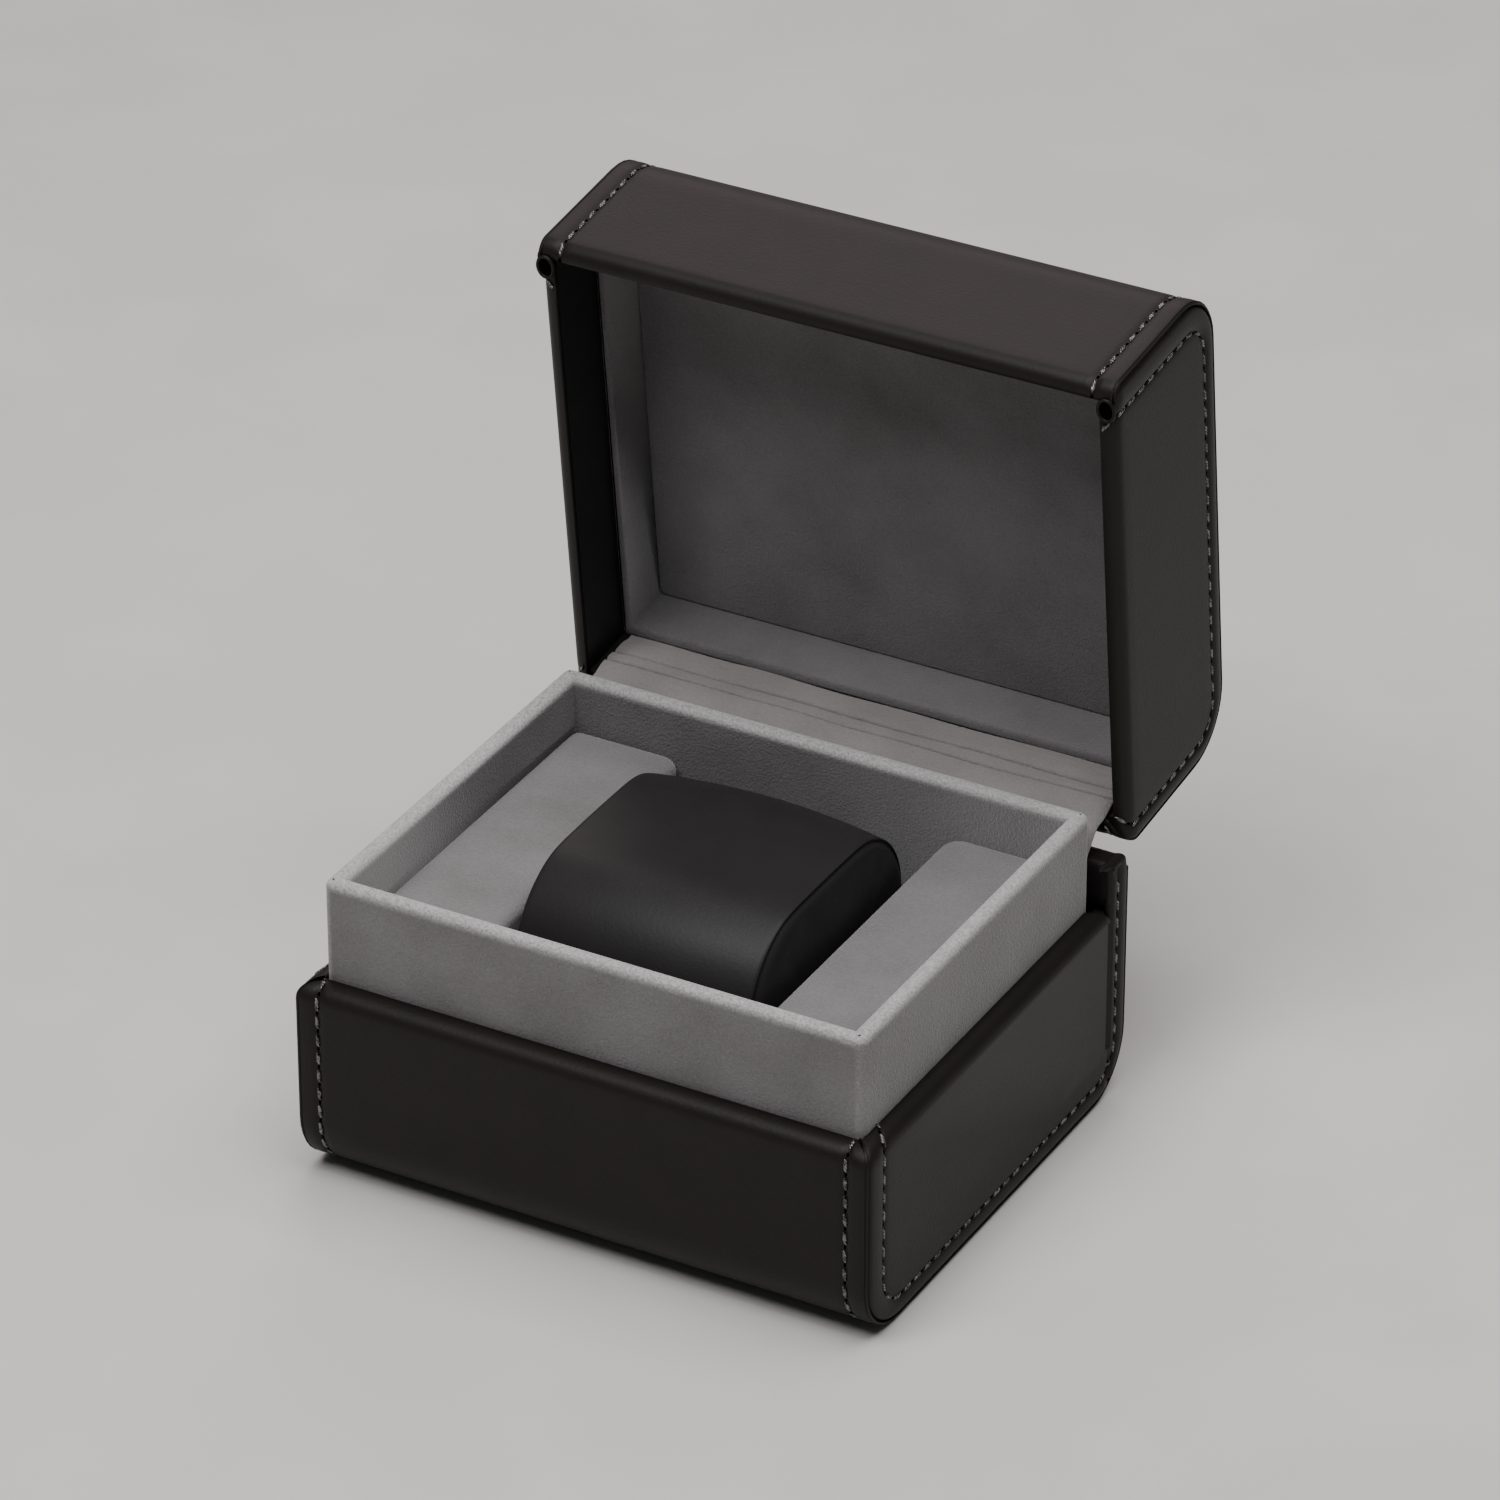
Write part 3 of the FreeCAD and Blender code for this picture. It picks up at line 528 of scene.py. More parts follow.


# %% [markdown]
# Thread shows as a row of short stitches lying in the groove, each of three turns of the twist, with a small
# near-black ellipsoid before the next as the painted shade of its needle hole. A picture of stitches would
# look flat from the side, so each is a small mesh of stretched spheres. The groove is marked on the skin's
# mesh, so the row follows every bend.

# %% Stitches
TWIST_SPOTS, TWIST_LEAN = (-0.55, 0.0, 0.55), math.radians(28.0)
TWIST_SHAPE, HOLE_SHAPE = (0.66, 0.25, 0.25), (0.4, 0.32, 0.2)
THREAD_LIFT, HOLE_LIFT = 0.2, 0.02
FULLY_SEWN = 0.99


def sewing_lines(bm):
    """The marked grooves of a skin, each as a list of points and outward directions in order."""
    bm.normal_update()
    sewn = bm.verts.layers.float["sewn"]
    links = {}
    for edge in bm.edges:
        if all(vert[sewn] > FULLY_SEWN for vert in edge.verts):
            for one, other in (edge.verts, reversed(edge.verts)):
                links.setdefault(one, []).append(other)
    lines = []
    while links:
        ends = [vert for vert, others in links.items() if len(others) == 1]
        walk = [ends[0] if ends else next(iter(links))]
        while True:
            onward = [vert for vert in links[walk[-1]] if vert not in walk[-2:]]
            if not onward or onward[0] is walk[0]:
                break
            walk.append(onward[0])
        for vert in walk:
            links.pop(vert, None)
        lines.append([(vert.co.copy(), vert.normal.copy()) for vert in walk])
    return lines


def spots_along(line, pitch, first):
    """Axes at an even pitch along a line of points and outward directions."""
    travelled, target = 0.0, first
    for (start, up), (end, _) in zip(line, line[1:]):
        length = (end - start).length
        while length and target <= travelled + length:
            along = (end - start).normalized()
            across = up.cross(along).normalized()
            axes = Matrix((along, across, along.cross(across))).transposed().to_4x4()
            yield Matrix.Translation(start.lerp(end, (target - travelled) / length)) @ axes
            target += pitch
        travelled += length


# %% Laying the stitches
def draw_grain(places, shape, finish_number):
    """Stretched spheres at some places, as one small mesh to be laid many times."""
    bm = bmesh.new()
    stretch = Matrix.Diagonal((*shape, 1.0)) @ Matrix.Rotation(math.pi / 2, 4, "Y")
    for place in places:
        bmesh.ops.create_uvsphere(bm, u_segments=6, v_segments=5, radius=1.0, matrix=place @ stretch)
    for face in bm.faces:
        face.material_index = finish_number
    mesh = bpy.data.meshes.new("grain")
    bm.to_mesh(mesh)
    bm.free()
    return mesh


STITCH = draw_grain([Matrix.Translation((spot, 0, THREAD_LIFT)) @ Matrix.Rotation(TWIST_LEAN, 4, "Z")
                     for spot in TWIST_SPOTS], TWIST_SHAPE, 0)
# A near-black ellipsoid, the painted shade of a needle hole.
NEEDLE_HOLE_SHADE = draw_grain([Matrix.Translation((0, 0, HOLE_LIFT))], HOLE_SHAPE, 1)


def sew(bm, lines):
    """Lay twisted stitches along each line, and the painted shade of a needle hole between each two."""
    count = 0
    for line in lines:
        for grain, first in ((STITCH, STITCH_PITCH / 2), (NEEDLE_HOLE_SHADE, STITCH_PITCH)):
            for axes in spots_along(line, STITCH_PITCH, first):
                grain.transform(axes)
                bm.from_mesh(grain)
                grain.transform(axes.inverted())
                count += grain is STITCH
    return count


# %% Covering one half of the box
def mirror_over(bm):
    """The same piece for the left side."""
    bmesh.ops.scale(bm, vec=(-1, 1, 1), verts=bm.verts)
    bmesh.ops.reverse_faces(bm, faces=bm.faces)


def add_skin(bm, name, body, place, *nodes):
    """A leatherette piece with its thickness."""
    skin = new_piece(bm, name, charcoal, place)
    thicken(skin, LEATHER)
    return settle(skin, body, "leatherette", *nodes)


def add_panels(draw, body, place):
    """The right side panel and its mirror image; returns their sewing lines."""
    lines = []
    for side in ("right", "left"):
        bm = draw()
        if side == "left":
            mirror_over(bm)
        lines += sewing_lines(bm)
        add_skin(bm, f"{body}_panel_{side}", body, place, f"{body}_side_{side}")
    return lines


def add_stitches(lines, body, place):
    """All the stitches of one half, as one piece."""
    bm = bmesh.new()
    count = sew(bm, lines)
    stitches = settle(new_piece(bm, f"{body}_stitches", thread, place), body, "leatherette")
    stitches.data.materials.append(hollow_shade)
    print(f"{body} stitches: {count}")


# %% [markdown]
# ### The base's cover
# The strip starts in front of the collar on the front rim, and ends below the hinge. The raised back wall
# that carries the hinge has no stitches on it, so its cover is a strip of its own with a plain edge. Its
# back edge is rounder than its front edge, to leave room for the hinge barrel. One side panel reaches up
# both the low rim and the raised wall, so it is slit where the two meet before they are bent over.

# %% Base strip
FRONT_ROUND, HINGE_ROUND, POST_ROUND = 2.8, 3.2, 1.5
SIDE_ROUND, POST_SIDE_ROUND = 2.8, 1.4
COLLAR_FRONT = -40.8

strip_start = COLLAR_FRONT - FIT_GAP
base_route = [
    (FRONT_ROUND - BACK_Y - strip_start, 0.0), (FRONT_ROUND - BACK_Y, RIM_Z - FRONT_ROUND, 90),
    (0.0, CORNER - RIM_Z + FRONT_ROUND), (CORNER - BACK_Y, CORNER, 90),
    (2 * (BACK_Y - CORNER), 0.0), (BACK_Y - CORNER, CORNER, 90),
    (0.0, RISER_Z - HINGE_ROUND - CORNER)]
post_back = [(BACK_Y - HINGE_ROUND, RISER_Z - HINGE_ROUND, -90)]
post_front = [
    (RISER_Y + POST_ROUND - BACK_Y + HINGE_ROUND, 0.0), (RISER_Y + POST_ROUND, RISER_Z - POST_ROUND, 90),
    (0.0, RIM_Z + FIT_GAP - RISER_Z + POST_ROUND)]

bm = draw_strip(STRIP_EDGE, strip_start, RIM_Z, base_route)
turn_rim([vert for vert in bm.verts if vert.co.y < 0], RIM_Z, FRONT_ROUND)
base_lines = sewing_lines(bm)
add_skin(bm, "base_strip", "base", BASE, "base_wrap")
bm = draw_strip(PLAIN_EDGE, BACK_Y - HINGE_ROUND, RISER_Z, post_front, post_back)
add_skin(bm, "post_cover", "base", BASE)

# %% Base side panels and stitches
BASE_SHIFT, RIM_FLANGE, POST_FLANGE = (1.0, -1.0), 0.5, 0.2
POST_TUCK, POST_SUNK, POST_CORNER = 3.0, -0.3, 1.0


def cut_to_rims(bm):
    """Trim a panel to the low rim and the raised wall, and slit it where they meet; returns both parts."""
    rim_end = rim_cuts(bm, RIM_Z, SIDE_ROUND, RIM_FLANGE)
    post_end = rim_cuts(bm, RISER_Z, POST_SIDE_ROUND, POST_FLANGE)
    for level in (rim_end, post_end):
        cut_across(bm, (0, 0, level), (0, 0, 1))
    cut_across(bm, (0, RISER_Y, 0), (0, 1, 0))
    spare = []
    for face in bm.faces:
        middle = face.calc_center_median()
        if middle.z > (rim_end if middle.y < RISER_Y else post_end):
            spare.append(face)
    bmesh.ops.delete(bm, geom=spare, context="FACES")
    slit = [edge for edge in bm.edges if edge.is_manifold and all(
        abs(vert.co.y - RISER_Y) < NEAR and vert.co.z > RIM_Z - SIDE_ROUND - NEAR for vert in edge.verts)]
    bmesh.ops.split_edges(bm, edges=slit)
    rim, post = [], []
    for vert in bm.verts:
        if vert.link_faces:
            middle = sum(face.calc_center_median().y for face in vert.link_faces) / len(vert.link_faces)
            (rim if middle < RISER_Y else post).append(vert)
    return rim, post


def draw_base_panel():
    """The base's right panel, sunk under the raised wall's cover at its top."""
    bm = draw_panel(RISER_Z, BASE_SHIFT)
    rim, post = cut_to_rims(bm)
    sewn = bm.verts.layers.float["sewn"]
    for vert in post:
        if vert.co.z > RISER_Z - 2 * POST_SIDE_ROUND:
            vert[sewn] = 0.0
        tucked = min(1.0, max(0.0, (vert.co.z - RISER_Z) / POST_TUCK + 1))
        vert.co.x += tucked * (POST_SUNK - vert.co.x)
        vert.co.x -= POST_CORNER * max(0.0, 1 - (vert.co.y - RISER_Y) / POST_ROUND) ** 2
    bend_over(rim, RIM_Z, SIDE_ROUND)
    bend_over(post, RISER_Z, POST_SIDE_ROUND)
    bmesh.ops.translate(bm, vec=(SIDE_X, 0, 0), verts=bm.verts)
    return bm


base_lines += add_panels(draw_base_panel, "base", BASE)
add_stitches(base_lines, "base", BASE)

# %% [markdown]
# ### The lid's cover
# The lid is made the same way, as a cup, and then turned over and swung open. Its strip is mitred at the
# hinge, and its front edge ends square over the open rolls of the side panels.

# %% Lid strip, panels and stitches
LID_REAR_ROUND, LID_FRONT_ROUND, LID_SIDE_ROUND = 3.2, 2.4, 2.4
LID_REAR_END, LID_FRONT_END = -40.6, 42.1
LID_SHIFT, LID_FLANGE = (-1.0, -1.0), 0.4
lid_route = [
    (LID_REAR_ROUND - BACK_Y - LID_REAR_END, 0.0),
    (LID_REAR_ROUND - BACK_Y, LID_HEIGHT - LID_REAR_ROUND, 90),
    (0.0, CORNER - LID_HEIGHT + LID_REAR_ROUND), (CORNER - BACK_Y, CORNER, 90),
    (2 * (BACK_Y - CORNER), 0.0), (BACK_Y - CORNER, CORNER, 90),
    (0.0, LID_HEIGHT - LID_FRONT_ROUND - CORNER),
    (BACK_Y - LID_FRONT_ROUND, LID_HEIGHT - LID_FRONT_ROUND, 90),
    (LID_FRONT_END - BACK_Y + LID_FRONT_ROUND, 0.0)]


def draw_lid_panel():
    """The lid's right panel, in the lid's cup."""
    bm = draw_panel(LID_HEIGHT, LID_SHIFT)
    end = rim_cuts(bm, LID_HEIGHT, LID_SIDE_ROUND, LID_FLANGE)
    cut_across(bm, (0, 0, end), (0, 0, 1), trim=True)
    bend_over(bm.verts, LID_HEIGHT, LID_SIDE_ROUND)
    bmesh.ops.translate(bm, vec=(SIDE_X, 0, 0), verts=bm.verts)
    return bm


bm = draw_strip(STRIP_EDGE, LID_REAR_END, LID_HEIGHT, lid_route)
turn_rim([vert for vert in bm.verts if vert.co.y < 0], LID_HEIGHT, LID_REAR_ROUND)
turn_rim([vert for vert in bm.verts if vert.co.y > 0], LID_HEIGHT, LID_FRONT_ROUND, mitred=False)
lid_lines = sewing_lines(bm)
add_skin(bm, "lid_strip", "lid", LID, "lid_wrap")
lid_lines += add_panels(draw_lid_panel, "lid", LID)
add_stitches(lid_lines, "lid", LID)

# %% [markdown]
# Where the side panel's border ends on the lid's rim, its roll stays open: a small hollow with a soft lip,
# in shade inside. It could be cut into the panel, but so small a hole would need many faces there. So the
# lip is a circle spun into a ring and stretched, and a near-black disc inside is the hollow's painted shade.

# %% Open roll ends
ROLL_PLACE, ROLL_SIZE, ROLL_LIP = Vector((50.6, 40.7, LID_HEIGHT + 0.35)), (1.45, 1.95), 0.3
ROLL_STEPS, LIP_STEPS = 24, 8


def draw_roll_ends():
    """The lips at both front corners of the lid, each with a near-black disc of painted shade in its hollow.
    """
    bm = bmesh.new()
    upright = Matrix.Translation((1, 0, 0)) @ Matrix.Rotation(math.pi / 2, 4, "X")
    for side in (-1, 1):
        finished = set(bm.verts)
        section = bmesh.ops.create_circle(bm, segments=LIP_STEPS, radius=ROLL_LIP, matrix=upright)["verts"]
        edges = {edge for vert in section for edge in vert.link_edges}
        bmesh.ops.spin(bm, geom=[*section, *edges], cent=(0, 0, 0), axis=(0, 0, 1), angle=2 * math.pi,
                       steps=ROLL_STEPS, use_merge=True, dvec=(0, 0, 0))
        # The near-black disc is painted shade inside the open roll.
        disc = bmesh.ops.create_circle(bm, cap_ends=True, segments=ROLL_STEPS, radius=1.0)["verts"]
        for face in {face for vert in disc for face in vert.link_faces}:
            face.material_index = 1
        for vert in [vert for vert in bm.verts if vert not in finished]:
            outwards = Vector((vert.co.x, vert.co.y, 0)).normalized()
            middle = Vector((outwards.x * ROLL_SIZE[0], outwards.y * ROLL_SIZE[1], 0))
            vert.co = middle + outwards * (vert.co.xy.length - 1) + Vector((0, 0, vert.co.z))
            vert.co += Vector((side * ROLL_PLACE.x, ROLL_PLACE.y, ROLL_PLACE.z))
        bmesh.ops.translate(bm, vec=(0, 0, -ROLL_LIP / 2), verts=disc)
    bmesh.ops.recalc_face_normals(bm, faces=bm.faces)
    return bm


roll_ends = settle(new_piece(draw_roll_ends(), "lid_roll_ends", charcoal, LID), "lid", "leatherette")
roll_ends.data.materials.append(hollow_shade)

# %% [markdown]
# ## Velvet over card
# The collar and the lid's lining are card strips covered in velvet. Four boards could stand side by side,
# but the velvet hides their joints, so each ring is one block, hollowed by an inset and an extrude, with
# its rim rounded by a bevel. Smooth shading alone would make its walls look like tubes. A Weighted Normal
# modifier keeps the large faces flat to the light.


# %% Velvet ring
def raise_face(bm, face, height):
    """Extrude one face along Z and return the new one; the old one stays, as the foot."""
    made = bmesh.ops.extrude_face_region(bm, geom=[face])["geom"]
    raised = [item for item in made if isinstance(item, bmesh.types.BMVert)]
    bmesh.ops.translate(bm, vec=(0, 0, height), verts=raised)
    return next(item for item in made if isinstance(item, bmesh.types.BMFace))


# The painted highlight on a rim: its fade, its reach down the rim, its strength and margin on round corners.
HIGHLIGHT_FADE, HIGHLIGHT_REACH, CORNER_HIGHLIGHT, CORNER_FLAT = 0.8, 1.82, 0.3, 0.05


def paint_highlight(bm, low, high, corner, reach):
    """Mark where a highlight is painted: on top of a ring's rim, fading out below, and lightly down its
    round corners.
    """
    cut_across(bm, (0, 0, high.z - reach), (0, 0, 1))
    painted_highlight = bm.verts.layers.float.new("painted_highlight")
    for vert in bm.verts:
        on_rim = min(1.0, max(0.0, (vert.co.z - high.z + reach) / (HIGHLIGHT_FADE * reach)))
        inside = high.x - abs(vert.co.x), min(vert.co.y - low.y, high.y - vert.co.y)
        on_corner = all(CORNER_FLAT < distance < corner - CORNER_FLAT for distance in inside)
        vert[painted_highlight] = max(on_rim, CORNER_HIGHLIGHT * on_corner)


def draw_ring(low, high, walls, corner, edge_round):
    """A hollow ring between two corners, with walls so thick at the sides, at low Y and at high Y."""
    bm = bmesh.new()
    bmesh.ops.create_grid(bm, x_segments=1, y_segments=1, size=0.5)
    bmesh.ops.scale(bm, vec=(high.x - low.x, high.y - low.y, 1), verts=bm.verts)
    bmesh.ops.translate(bm, vec=((low.x + high.x) / 2, (low.y + high.y) / 2, low.z), verts=bm.verts)
    bm.faces.ensure_lookup_table()
    foot = bm.faces[0]
    side, low_end, high_end = walls
    top = raise_face(bm, foot, high.z - low.z)
    bmesh.ops.inset_region(bm, faces=[top], thickness=side, use_even_offset=True, use_boundary=True)
    middle = (low.y + high.y) / 2
    for vert in top.verts:
        vert.co.y += side - high_end if vert.co.y > middle else low_end - side
    inner = raise_face(bm, top, low.z - high.z)
    inner_loop, outer_loop = list(inner.edges), list(foot.edges)
    bmesh.ops.delete(bm, geom=[inner, top, foot], context="FACES_ONLY")
    bmesh.ops.bridge_loops(bm, edges=inner_loop + outer_loop)
    bmesh.ops.recalc_face_normals(bm, faces=bm.faces)
    upright = [edge for edge in bm.edges if abs(edge.verts[0].co.z - edge.verts[1].co.z) > NEAR
               and abs(abs(edge.verts[0].co.x) - high.x) < NEAR]
    bmesh.ops.bevel(bm, geom=upright, offset=corner, offset_type="OFFSET", segments=4, profile=0.5,
                    affect="EDGES", material=-1)
    rim = [edge for edge in bm.edges if all(abs(vert.co.z - high.z) < NEAR for vert in edge.verts)
           and len(edge.link_faces) == 2 and any(abs(face.normal.z) < 0.5 for face in edge.link_faces)]
    bmesh.ops.bevel(bm, geom=rim, offset=edge_round, offset_type="OFFSET", segments=5, profile=0.5,
                    affect="EDGES", material=-1)
    bmesh.ops.recalc_face_normals(bm, faces=bm.faces)
    return bm


# %% Collar and lining
COLLAR_LOW, COLLAR_HIGH = Vector((-48.8, COLLAR_FRONT, 12.0)), Vector((48.8, 37.1, 54.3))
COLLAR_WALLS, COLLAR_CORNER, COLLAR_ROUND = (3.0, 3.0, 3.0), 1.6, 1.3
LINER_LOW, LINER_HIGH = Vector((-49.5, -40.5, 11.4)), Vector((49.5, 42.0, 22.3))
LINER_WALLS, LINER_CORNER, LINER_ROUND = (1.5, 2.1, 1.5), 0.6, 0.7

bm = draw_ring(COLLAR_LOW, COLLAR_HIGH, COLLAR_WALLS, COLLAR_CORNER, COLLAR_ROUND)
# The collar's rim and round corners get the painted highlight.
paint_highlight(bm, COLLAR_LOW, COLLAR_HIGH, COLLAR_CORNER, HIGHLIGHT_REACH)
collar = settle(new_piece(bm, "collar", grey_velvet), "base", "velvet",
                "collar_front", "collar_back", "collar_left", "collar_right")
bm = draw_ring(LINER_LOW, LINER_HIGH, LINER_WALLS, LINER_CORNER, LINER_ROUND)
liner = settle(new_piece(bm, "lid_liner", grey_velvet, LID), "lid", "velvet",
               "lid_liner_front", "lid_liner_back", "lid_liner_left", "lid_liner_right")
for ring in (collar, liner):
    flatten_faces(ring)

# %% [markdown]
# ## Padded blocks
# The platforms, the floor of the well and the panel in the lid are velvet over foam. A simulation could
# swell them, but they rise by a third of a millimetre, which a formula does as well. Each is a block whose
# top is a fine grid, rounded at its edges and raised a little towards the middle.

# %% Padded block
PAD_STEPS = 6
PAD_GRID = ((0, 10), (1, 18))


def draw_pad(low, high, corners, edge_round, crown):
    """A block with round upright corners where asked, a rounded top edge and a crowned top."""
    bm = bmesh.new()
    plan = [(low.x, low.y), (high.x, low.y), (high.x, high.y), (low.x, high.y)]
    verts = [bm.verts.new((x, y, low.z)) for x, y in plan]
    bm.faces.new(verts)
    for vert, radius in zip(verts, corners):
        bmesh.ops.bevel(bm, geom=[vert], offset=radius, offset_type="OFFSET", segments=PAD_STEPS,
                        profile=0.5, affect="VERTICES", material=-1)
    bm.faces.ensure_lookup_table()
    top = raise_face(bm, bm.faces[0], high.z - low.z)
    bmesh.ops.bevel(bm, geom=list(top.edges), offset=edge_round, offset_type="OFFSET", segments=PAD_STEPS,
                    profile=0.5, affect="EDGES", material=-1)
    for axis, count in PAD_GRID:
        for number in range(1, count):
            place = low.lerp(high, number / count)
            cut_across(bm, place, [float(axis == index) for index in range(3)])
    for vert in bm.verts:
        if vert.co.z > high.z - NEAR:
            across = 1 - (2 * (vert.co.x - low.x) / (high.x - low.x) - 1) ** 2
            along = 1 - (2 * (vert.co.y - low.y) / (high.y - low.y) - 1) ** 2
            vert.co.z += crown * across * along
    bmesh.ops.recalc_face_normals(bm, faces=bm.faces)
    return bm


# %% Platforms, well and lid panel
# Each pad: its low and high corners, the radii of its upright corners and of its top edge, its crown.
PLATFORM = Vector((24.8, -37.6, 12.0)), Vector((45.6, 33.9, 45.0)), (3.5, 2.0, 2.0, 3.5), 1.7, 0.3
WELL = Vector((-24.5, -37.6, 12.0)), Vector((24.5, 33.9, 13.5)), (0.5, 0.5, 0.5, 0.5), 0.5, 0.1
LID_PAD = Vector((-47.95, -38.35, 9.9)), Vector((47.95, 40.45, 12.1)), (1.0, 1.0, 1.0, 1.0), 0.45, 0.3

for side in ("right", "left"):
    bm = draw_pad(*PLATFORM)
    if side == "left":
        mirror_over(bm)
    pad = new_piece(bm, f"platform_pad_{side}", grey_velvet)
    flatten_faces(settle(pad, "base", "velvet", f"platform_{side}"))
settle(new_piece(draw_pad(*WELL), "well_pad", grey_velvet), "base", "velvet", "well_floor")
lid_panel = new_piece(draw_pad(*LID_PAD), "lid_panel", grey_velvet, LID)
settle(lid_panel, "lid", "velvet", "lid_pad")

# %% [markdown]
# ## The hinge's velvet strip
# A strip of the same velvet hides the hinge. It leaves the lid's lining, rises a little, keeps two narrow
# creases from being shut, and goes down between the collar and the back wall. A cloth simulation would
# fold it somewhere else each time a size changes, so it is one line along X, carried over runs and turns
# like the leatherette strip. A little noise makes it lie unevenly. It bends when the lid moves.

# %% Hinge cloth: sizes
CLOTH_HALF, CLOTH_THICKNESS, CLOTH_GAP, CLOTH_END_GAP = 47.6, 0.8, 0.1, 0.4
CLOTH_COLUMNS, PILE_THICKNESS = 40, 0.45
RIPPLE_START, RIPPLE_FADE, RIPPLE_HEIGHT = 44.0, 3.0, 0.35
RIPPLE_LONG, RIPPLE_SHORT, RIPPLE_PLACE = 14, 3, 0.5
BEND_RADIUS, SLOPE, TUCK = 3.0, 3.4, 14.0
CREASE = [(0.45, 75.0), (0.2, None), (0.3, -150.0), (0.2, None), (0.45, 75.0)]
FOLDS = [(6.0, -20.0), (6.0, 20.0), (0.9, None), *CREASE, (1.1, None), *CREASE, (6.0, 20.0), (6.0, -20.0)]
LINER_BACK, LINER_RIM, TUCK_Y = 40.5, 58.05, 37.8


def reach_of(steps):
    """How far runs (length, None) and bends (radius, degrees) get along their first direction."""
    total, angle = 0.0, 0.0
    for amount, bend in steps:
        onward = angle + math.radians(bend or 0.0)
        if bend is None:
            total += amount * math.cos(angle)
        else:
            total += math.copysign(amount, bend) * (math.sin(onward) - math.sin(angle))
        angle = onward
    return total


open_angle = math.radians(hinge["range_deg"][1])
reach = LINER_BACK - CLOTH_THICKNESS / 2 - CLOTH_GAP - pin.y
rise = LINER_RIM - CLOTH_END_GAP - pin.z
cloth_y = pin.y + reach * math.cos(open_angle) + rise * math.sin(open_angle)
cloth_z = pin.z - reach * math.sin(open_angle) + rise * math.cos(open_angle)
half_turn = hinge["range_deg"][1] / 2
slant = math.radians(180 + 90 - half_turn)
heading = math.radians(270 - hinge["range_deg"][1])
bends_reach = BEND_RADIUS * (1 - math.cos(open_angle)) - SLOPE * math.cos(slant)
run = (cloth_y - TUCK_Y - bends_reach) / math.sin(open_angle) - reach_of(FOLDS)
cloth_steps = [*FOLDS, (run, None), (BEND_RADIUS, half_turn), (SLOPE, None), (BEND_RADIUS, half_turn),
               (TUCK, None)]
print("hinge strip starts at", round(cloth_y, 2), round(cloth_z, 2), "mm")

# %% Hinge cloth: shape
bm = bmesh.new()
columns = [bm.verts.new((-CLOTH_HALF + 2 * CLOTH_HALF * number / CLOTH_COLUMNS, cloth_y, cloth_z))
           for number in range(CLOTH_COLUMNS + 1)]
line = columns + [bm.edges.new(pair) for pair in zip(columns, columns[1:])]
y, z, cloth_length = cloth_y, cloth_z, 0.0
for amount, bend in cloth_steps:
    if bend is None:
        along = (amount * math.cos(heading), amount * math.sin(heading))
        line = carry(bm, line, [along])
        y, z, cloth_length = y + along[0], z + along[1], cloth_length + amount
        continue
    side = math.copysign(amount, bend)
    centre = (y - side * math.sin(heading), z + side * math.cos(heading))
    line = carry(bm, line, [(*centre, bend)])
    heading += math.radians(bend)
    y, z = centre[0] + side * math.sin(heading), centre[1] - side * math.cos(heading)
    cloth_length += amount * abs(math.radians(bend))
for vert in bm.verts:
    loose = min(1.0, max(0.0, (vert.co.z - RIPPLE_START) / RIPPLE_FADE))
    spot = Vector((vert.co.x / RIPPLE_LONG, vert.co.y / RIPPLE_SHORT, RIPPLE_PLACE))
    vert.co.z += RIPPLE_HEIGHT * loose * noise.noise(spot)
bm.normal_update()
bm.faces.ensure_lookup_table()
if bm.faces[0].normal.z < 0:
    bmesh.ops.reverse_faces(bm, faces=bm.faces)
cloth = new_piece(bm, "hinge_strip", lightened_velvet)
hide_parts("hinge_cloth")
thicken(cloth, PILE_THICKNESS, offset=0.0)
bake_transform(cloth, "base", "lid", start=(0, 0.0400, 0.0445), end=(0, 0.0510, 0.0490))
print("hinge strip:", round(cloth_length, 1), "mm long")

# %% [markdown]
# ## The cushion
# The cushion is a stuffed bolster: a leatherette tube with an end panel sewn in each side, 2 mm from the
# end. Its section is a rectangle with round corners and crowned sides; the tube is drawn in at the seams.
# Drawn so, it is too even. A short cloth simulation then blows the skin up between the seams, which are
# held, as stuffing does, and the swelling is capped so that the cushion still fits its well.

# %% Cushion: shape
CUSHION_CENTRE = Vector((0.0, -1.85, 35.0))
CUSHION_SEAM, CUSHION_Y, CUSHION_Z = 21.6, 27.6, 21.0
CUSHION_ROUND, CUSHION_CROWN, CUSHION_DRAW = 14.0, 1.6, 1.3
CUSHION_STEPS, CUSHION_CUTS, CUSHION_ROWS, SHORT_EDGE = 8, 7, 24, 8.0
SLANT = Vector((1.0, 0.6180, 0.4142))
# Insets of the end panel: how far in, and how far out of the end.
END_STEPS = [(0.25, -0.55), (0.25, -0.1), (0.3, 0.45), (0.6, 0.65), (1.2, 0.6), (2.5, 0.5), (4.0, 0.25),
             (5.0, 0.1)]


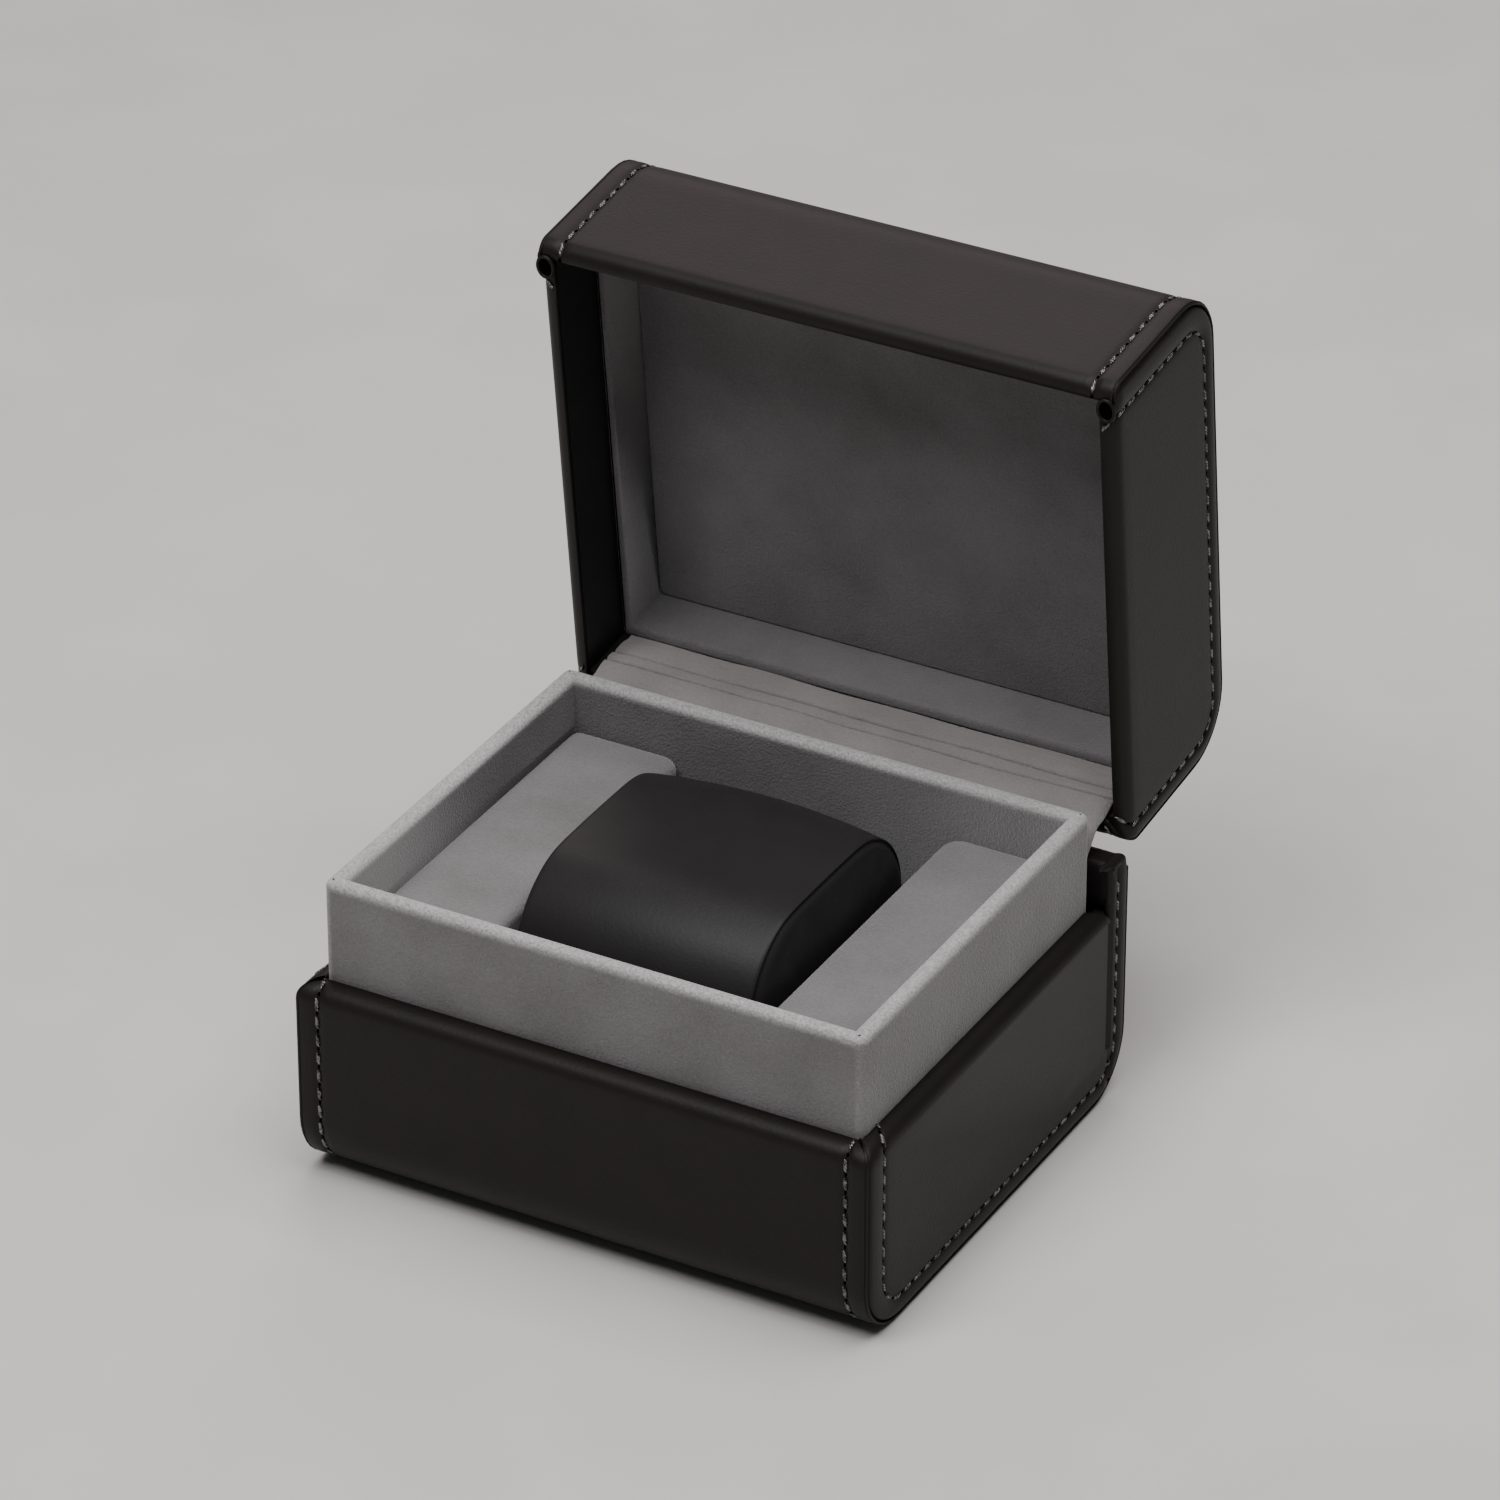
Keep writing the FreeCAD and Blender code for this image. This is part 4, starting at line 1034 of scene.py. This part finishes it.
def draw_cushion():
    """The tube with its drawn-in seams and its two end panels."""
    bm = bmesh.new()
    flat_y, flat_z = CUSHION_Y - CUSHION_CROWN, CUSHION_Z - CUSHION_CROWN
    corners = [bm.verts.new((-CUSHION_SEAM, y, z)) for y, z in
               ((-flat_y, -flat_z), (flat_y, -flat_z), (flat_y, flat_z), (-flat_y, flat_z))]
    bm.faces.new(corners)
    bmesh.ops.bevel(bm, geom=corners, offset=CUSHION_ROUND, offset_type="OFFSET", segments=CUSHION_STEPS,
                    profile=0.5, affect="VERTICES", material=-1)
    bm.faces.ensure_lookup_table()
    left = bm.faces[0]
    for edge in [item for item in left.edges if item.calc_length() > SHORT_EDGE]:
        bmesh.ops.subdivide_edges(bm, edges=[edge], cuts=CUSHION_CUTS)
    ring = list(left.verts) + list(left.edges)
    last = bmesh.ops.spin(bm, geom=ring, cent=(0, 0, 0), axis=(1, 0, 0), angle=0.0, steps=CUSHION_ROWS,
                          dvec=(2 * CUSHION_SEAM / CUSHION_ROWS, 0, 0))["geom_last"]
    outline = [item for item in last if isinstance(item, bmesh.types.BMEdge)]
    right = bmesh.ops.contextual_create(bm, geom=outline)["faces"][0]
    for vert in bm.verts:
        y, z = vert.co.y / flat_y, vert.co.z / flat_z
        vert.co.y += math.copysign(CUSHION_CROWN, y) * min(1.0, abs(y)) * math.sqrt(max(0.0, 1 - z * z))
        vert.co.z += math.copysign(CUSHION_CROWN, z) * min(1.0, abs(z)) * math.sqrt(max(0.0, 1 - y * y))
        drawn = 1 - CUSHION_DRAW * (vert.co.x / CUSHION_SEAM) ** 2 / CUSHION_Z
        vert.co.y *= drawn
        vert.co.z *= drawn
    bm.normal_update()
    bmesh.ops.recalc_face_normals(bm, faces=bm.faces)
    for end in (left, right):
        for inwards, outwards in END_STEPS:
            bmesh.ops.inset_region(bm, faces=[end], thickness=inwards, depth=outwards, use_even_offset=True,
                                   use_boundary=True)
    bmesh.ops.translate(bm, vec=CUSHION_CENTRE, verts=bm.verts)
    # Operators number their points differently each run, and a simulation follows the numbers.
    bm.verts.sort(key=lambda vert: vert.co.dot(SLANT))
    bm.edges.sort(key=lambda edge: (edge.verts[0].co + edge.verts[1].co).dot(SLANT))
    bm.faces.sort(key=lambda face: face.calc_center_median().dot(SLANT))
    return bm


# %% Cushion: stuffing
SIMULATED_FRAMES, PRESSURE, SWELLING_CAP, SEAM_REACH = 20, 4.0, 0.9, 0.7


def stuff(piece, held):
    """Swell a closed skin by a cloth simulation that holds some points, and cap how far each moves."""
    start = [vert.co.copy() for vert in piece.data.vertices]
    group = piece.vertex_groups.new(name="held")
    group.add(held, 1.0, "REPLACE")
    skin = piece.modifiers.new("stuffing", "CLOTH")
    skin.settings.vertex_group_mass = "held"
    skin.settings.use_pressure = True
    skin.settings.uniform_pressure_force = PRESSURE
    skin.settings.effector_weights.gravity = 0.0
    for number in range(1, SIMULATED_FRAMES + 1):
        bpy.context.scene.frame_set(number)
    swollen = piece.evaluated_get(bpy.context.evaluated_depsgraph_get()).data.vertices
    moves = [after.co - before for after, before in zip(swollen, start)]
    piece.modifiers.remove(skin)
    piece.vertex_groups.remove(group)
    bpy.context.scene.frame_set(1)
    for vert, before, move in zip(piece.data.vertices, start, moves):
        vert.co = before + move * min(1.0, SWELLING_CAP * MM / max(move.length, NEAR * MM))
    most = max(move.length for move in moves) / MM
    print(f"{piece.name}: swollen by up to {most:.2f} mm, capped at {SWELLING_CAP} mm")


cushion = new_piece(draw_cushion(), "cushion", cushion_skin)
stuff(cushion, [vert.index for vert in cushion.data.vertices
                if abs(abs(vert.co.x) / MM - CUSHION_SEAM) < SEAM_REACH])
smooth = cushion.modifiers.new("smooth", "SUBSURF")
smooth.levels = smooth.render_levels = 1
settle(cushion, "cushion", "cushion_leatherette",
       "cushion_core", "cushion_cover", "cushion_end_left", "cushion_end_right")
